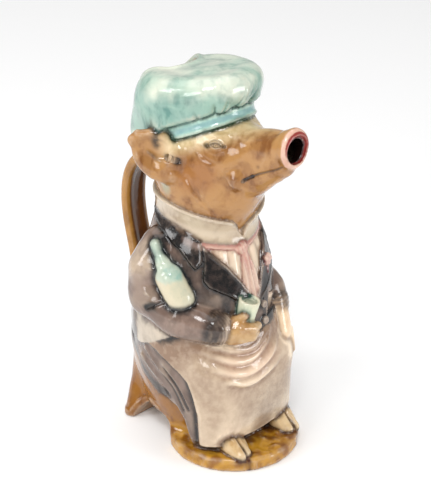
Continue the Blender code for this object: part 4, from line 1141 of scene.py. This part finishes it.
def paint(mesh, settings):
    """Give every point its two tints, its tint for glaze that pools and for painted shade, and how much of
    that tint, rim and speckle it has.
    """
    p = points_of(mesh)
    glaze, lines = glazes_at(p)
    ends = edge_ends(mesh)
    fine = hollowness(mesh, 3)
    broad = hollowness(mesh, 14)
    tints = np.array(list(TINTS.values()))
    soft = tints[glaze]
    for zone, over, share in washes(p, glaze):
        part = (share * zone)[:, None, None]
        soft = soft * (1 - part) + tints[over] * part
    soft = averaged(soft.reshape(len(p), 9), ends, 1).reshape(len(p), 3, 3)
    shown = np.array([POOLING_AND_SHADE.get(name, 1.0) for name in TINTS])[glaze]
    # The first part is glaze that pools in the creases; the second darkens broad hollows as painted shade.
    pool_and_shade = 0.80 * shown * step(0.08, 0.34, fine) + 0.22 * np.clip(2 * shown - 1, 0, 1) * step(0.3, 1.1, broad)
    pool_and_shade = np.clip(pool_and_shade, 0, 1) * settings.pooling_and_shade
    drawn = averaged(np.maximum(lines, drawn_lines(p)), ends, 1)
    pool_and_shade = np.maximum(pool_and_shade, drawn + 0.5 * drawn * (1 - drawn))
    rim = step(0.03, 0.22, -fine) * (outside(p) > -WALL_MIDDLE)
    speckle = (glaze == GLAZE["apron"]) * step(62, 40, p[:, 2]) * step(-24, 2, p[:, 0])
    for name, values in (("tint_a", soft[:, 0]), ("tint_b", soft[:, 1]), ("tint_pool_and_shade", soft[:, 2])):
        layer = mesh.attributes.new(name, "FLOAT_COLOR", "POINT")
        rgba = np.column_stack([values, np.ones(len(p))]).astype(np.float32)
        layer.data.foreach_set("color", rgba.ravel())
    for name, values in (("pool_and_shade", np.clip(pool_and_shade, 0, 1)), ("rim", rim), ("speckle", speckle)):
        layer = mesh.attributes.new(name, "FLOAT", "POINT")
        layer.data.foreach_set("value", values.astype(np.float32))


# Material

def majolica_glaze(settings):
    """Glossy coloured glaze that mottles, thins to a light edge and pools dark in the creases, with painted
    shade in broad hollows and holes.
    """
    material = bpy.data.materials.new("majolica glaze")
    material.use_nodes = True
    nodes, links = material.node_tree.nodes, material.node_tree.links
    shader = nodes["Principled BSDF"]

    def node(kind, **values):
        made = nodes.new(kind)
        for key, value in values.items():
            setattr(made, key, value)
        return made

    def attribute(name):
        return node("ShaderNodeAttribute", attribute_name=name)

    place = node("ShaderNodeTexCoord")

    def noise(scale, detail, rough=0.55, warp=0.0, stretch=(1, 1, 1)):
        """Noise with so many bumps in a metre."""
        mapping = node("ShaderNodeMapping")
        mapping.inputs["Scale"].default_value = stretch
        links.new(place.outputs["Object"], mapping.inputs["Vector"])
        made = node("ShaderNodeTexNoise")
        made.inputs["Scale"].default_value = scale
        made.inputs["Detail"].default_value = detail
        made.inputs["Roughness"].default_value = rough
        made.inputs["Distortion"].default_value = warp
        links.new(mapping.outputs["Vector"], made.inputs["Vector"])
        return made.outputs["Fac"]

    def spread(value, low, high, out_low=0.0, out_high=1.0):
        """The value's range between low and high, spread softly over another range."""
        made = node("ShaderNodeMapRange")
        made.interpolation_type = "SMOOTHSTEP"
        limits = {"From Min": low, "From Max": high, "To Min": out_low, "To Max": out_high}
        for socket, number in limits.items():
            made.inputs[socket].default_value = number
        links.new(value, made.inputs["Value"])
        return made.outputs["Result"]

    def joined(kind, a, b):
        """A sum or product of two values, or of a value and a number."""
        made = node("ShaderNodeMath", operation=kind)
        for socket, value in zip(made.inputs, (a, b)):
            if isinstance(value, (int, float)):
                socket.default_value = value
            else:
                links.new(value, socket)
        return made.outputs["Value"]

    def mixed(share, a, b):
        """A colour that goes from the first to the second with the share."""
        made = node("ShaderNodeMix", data_type="RGBA")
        links.new(share, made.inputs["Factor"])
        for socket, value in ((made.inputs[6], a), (made.inputs[7], b)):
            if isinstance(value, tuple):
                socket.default_value = (*value, 1)
            else:
                links.new(value, socket)
        return made.outputs[2]

    # Clouds and runs of the second tint, and fine grains of the pooled one
    clouds = spread(noise(75, 3, 0.55, 0.35), 0.40, 0.62)
    runs = spread(noise(190, 3, 0.55, 0.2, (1, 1, 0.5)), 0.36, 0.68)
    mottle = joined("MULTIPLY", clouds, spread(runs, 0, 1, 0.45, 1.0))
    base = mixed(mottle, attribute("tint_a").outputs["Color"], attribute("tint_b").outputs["Color"])
    grain = spread(noise(900, 2), 0.62, 0.72, 0.0, 0.35)
    base = mixed(joined("MULTIPLY", grain, 0.25), base, attribute("tint_pool_and_shade").outputs["Color"])
    # Thin glaze on edges, thick glaze in creases with painted shade in broad hollows and holes, and specks on
    # the apron
    edge = joined("MULTIPLY", attribute("rim").outputs["Fac"], settings.light_edges)
    base = mixed(edge, base, (0.66, 0.55, 0.42))
    uneven = spread(noise(260, 3), 0.3, 0.7, 0.88, 1.1)
    pooled_and_shaded = joined("MULTIPLY", attribute("pool_and_shade").outputs["Fac"], uneven)
    base = mixed(pooled_and_shaded, base, attribute("tint_pool_and_shade").outputs["Color"])
    specks = joined("MULTIPLY", spread(noise(1100, 2, 0.7), 0.56, 0.64), attribute("speckle").outputs["Fac"])
    base = mixed(joined("MULTIPLY", specks, 0.32), base, (0.20, 0.18, 0.16))
    links.new(base, shader.inputs["Base Color"])
    # The glossy surface, which runs a little uneven
    links.new(spread(noise(320, 3), 0.3, 0.7, 0.07, 0.16), shader.inputs["Roughness"])
    shader.inputs["IOR"].default_value = 1.52
    shader.inputs["Coat Weight"].default_value = 0.15
    shader.inputs["Coat Roughness"].default_value = 0.03
    bump = node("ShaderNodeBump")
    bump.inputs["Strength"].default_value = 0.35
    bump.inputs["Distance"].default_value = 0.0004
    skin_of_glaze = joined("ADD", noise(240, 2), joined("MULTIPLY", noise(1500, 2), 0.12))
    links.new(skin_of_glaze, bump.inputs["Height"])
    links.new(bump.outputs["Normal"], shader.inputs["Normal"])
    return material


# Settings and operators

class MajolicaSettings(bpy.types.PropertyGroup):
    voxel: FloatProperty(name="Carving fineness", description="Edge length of the carving's mesh",
                         default=0.00085, min=0.0005, max=0.003, unit="LENGTH")
    triangles: FloatProperty(name="Triangles", description="Triangles that the carving keeps",
                             default=180000, min=20000, max=199000)
    # Scales the dark glaze in the creases and the painted shade in broad hollows.
    pooling_and_shade: FloatProperty(name="Pooling", description="How dark the glaze gathers in the creases",
                           default=0.9, min=0, max=1, subtype="FACTOR")
    light_edges: FloatProperty(name="Light edges", description="How much the body shows where glaze thins",
                               default=0.35, min=0, max=1, subtype="FACTOR")
    floor_colour: FloatVectorProperty(name="Floor", description="Colour of the studio floor",
                                      default=(0.98, 0.98, 0.98), min=0, max=1, subtype="COLOR")
    room_light: FloatProperty(name="Room light", description="Strength of the light from all around",
                              default=0.42, min=0, max=5)
    lens: FloatProperty(name="Focal length", description="Camera lens for the photograph's angle",
                        default=106.3, min=20, max=300, unit="CAMERA")
    distance: FloatProperty(name="Camera distance", description="From the camera to the jug's middle",
                            default=0.9, min=0.3, max=5, unit="LENGTH")


class JUG_OT_carve(bpy.types.Operator):
    """Lay the fine carving and the glaze over the jug's solid"""
    bl_idname = "jug.carve"
    bl_label = "Carve and glaze the jug"

    def execute(self, context):
        settings = context.scene.majolica_jug
        obj = bpy.data.objects.new("pig_waiter_jug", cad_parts["jug"].data.copy())
        context.scene.collection.objects.link(obj)
        shift = np.array([0, -BASE_Y, 0])
        put_points(obj.data, points_of(obj.data) / UNIT - shift)
        voxel = settings.voxel / UNIT * 1
        for coarse in (1.4, 1.0):
            remesh(obj, voxel * coarse)
            settle(obj, shell, 2)
        thin_out(obj, settings.triangles / (1))
        refine(obj, [(EYE, 9.0), (NOSE, 12.5)] + [(tuple(v), 3.0) for v in MOUTH_LINE])
        settle(obj, shell, 1)
        paint(obj.data, settings)
        p = (points_of(obj.data) + shift) * UNIT
        put_points(obj.data, np.clip(p, CAD_LOW + CAD_MARGIN, CAD_HIGH - CAD_MARGIN))
        obj.data.materials.clear()
        obj.data.materials.append(majolica_glaze(settings))
        obj.data.shade_smooth()
        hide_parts("jug")
        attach(obj, "root")
        if len(obj.data.polygons) < 1000:
            raise RuntimeError("the carving came out empty")
        return {"FINISHED"}


FLOOR_SIZE = 30
FLOOR_DROP = 0.0002         # the floor lies this far below the jug's foot, so the two never share a plane
# Each light's name, place, width, height and power
LIGHTS = (("window left", (-1.20, 0.60, 0.95), 0.45, 0.65, 6.5),
          ("window near left", (-1.25, -0.25, 0.55), 0.40, 0.50, 3.6),
          ("window upper left", (-0.60, -0.50, 1.10), 0.30, 0.40, 5.0),
          ("window front", (0.50, -1.25, 0.30), 0.40, 0.70, 6.5),
          ("sky", (0.2, 0.6, 2.6), 3.0, 3.0, 36.0))
LIT_POINT = Vector((0, 0, 0.125))
CAMERA_AIM = Vector((0.012, 0.0285, 0.115))
CAMERA_TURN, CAMERA_RISE = math.radians(-45), math.radians(26)


class JUG_OT_stage(bpy.types.Operator):
    """Set the pale floor, the soft lights and the camera"""
    bl_idname = "jug.stage"
    bl_label = "Set the stage"

    def execute(self, context):
        settings = context.scene.majolica_jug
        scene = context.scene
        bpy.ops.mesh.primitive_plane_add(size=FLOOR_SIZE, location=(0, 0, -FLOOR_DROP))
        floor = context.object
        floor.name = "studio_floor"
        pale = bpy.data.materials.new("pale floor")
        pale.use_nodes = True
        shader = pale.node_tree.nodes["Principled BSDF"]
        shader.inputs["Base Color"].default_value = (*settings.floor_colour, 1)
        shader.inputs["Roughness"].default_value = 0.7
        floor.data.materials.append(pale)
        floor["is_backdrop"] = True

        world = bpy.data.worlds.new("studio room")
        world.use_nodes = True
        background = world.node_tree.nodes["Background"]
        background.inputs["Color"].default_value = (1, 1, 1, 1)
        background.inputs["Strength"].default_value = settings.room_light
        scene.world = world
        for name, place, wide, high, power in LIGHTS:
            light = bpy.data.lights.new(name, "AREA")
            light.shape = "RECTANGLE"
            light.size = wide
            light.size_y = high
            light.energy = power
            lamp = bpy.data.objects.new(name, light)
            lamp.location = place
            lamp.rotation_euler = (LIT_POINT - lamp.location).to_track_quat("-Z", "Y").to_euler()
            scene.collection.objects.link(lamp)

        out = math.cos(CAMERA_RISE)
        back = Vector((math.sin(CAMERA_TURN) * out, -math.cos(CAMERA_TURN) * out, math.sin(CAMERA_RISE)))
        camera = bpy.data.objects.new("photo camera", bpy.data.cameras.new("photo camera"))
        camera.data.lens = settings.lens
        camera.data.sensor_width = 36.0
        camera.location = CAMERA_AIM + back * settings.distance
        camera.rotation_euler = back.to_track_quat("Z", "Y").to_euler()
        scene.collection.objects.link(camera)
        scene.camera = camera
        scene.view_settings.view_transform = "Standard"
        return {"FINISHED"}


class JUG_PT_panel(bpy.types.Panel):
    """The jug's settings and steps"""
    bl_idname = "JUG_PT_panel"
    bl_label = "Majolica jug"
    bl_space_type = "VIEW_3D"
    bl_region_type = "UI"
    bl_category = "Majolica jug"

    def draw(self, context):
        settings = context.scene.majolica_jug
        for name in ("voxel", "triangles", "pooling_and_shade", "light_edges", "floor_colour", "room_light", "lens",
                     "distance"):
            self.layout.prop(settings, name)
        self.layout.operator(JUG_OT_carve.bl_idname)
        self.layout.operator(JUG_OT_stage.bl_idname)


CLASSES = (MajolicaSettings, JUG_OT_carve, JUG_OT_stage, JUG_PT_panel)


def register():
    for each in CLASSES:
        bpy.utils.register_class(each)
    bpy.types.Scene.majolica_jug = PointerProperty(type=MajolicaSettings)


def unregister():
    del bpy.types.Scene.majolica_jug
    for each in reversed(CLASSES):
        bpy.utils.unregister_class(each)


def main():
    register()
    bpy.ops.jug.carve()
    bpy.ops.jug.stage()


if __name__ == "__main__":
    main()
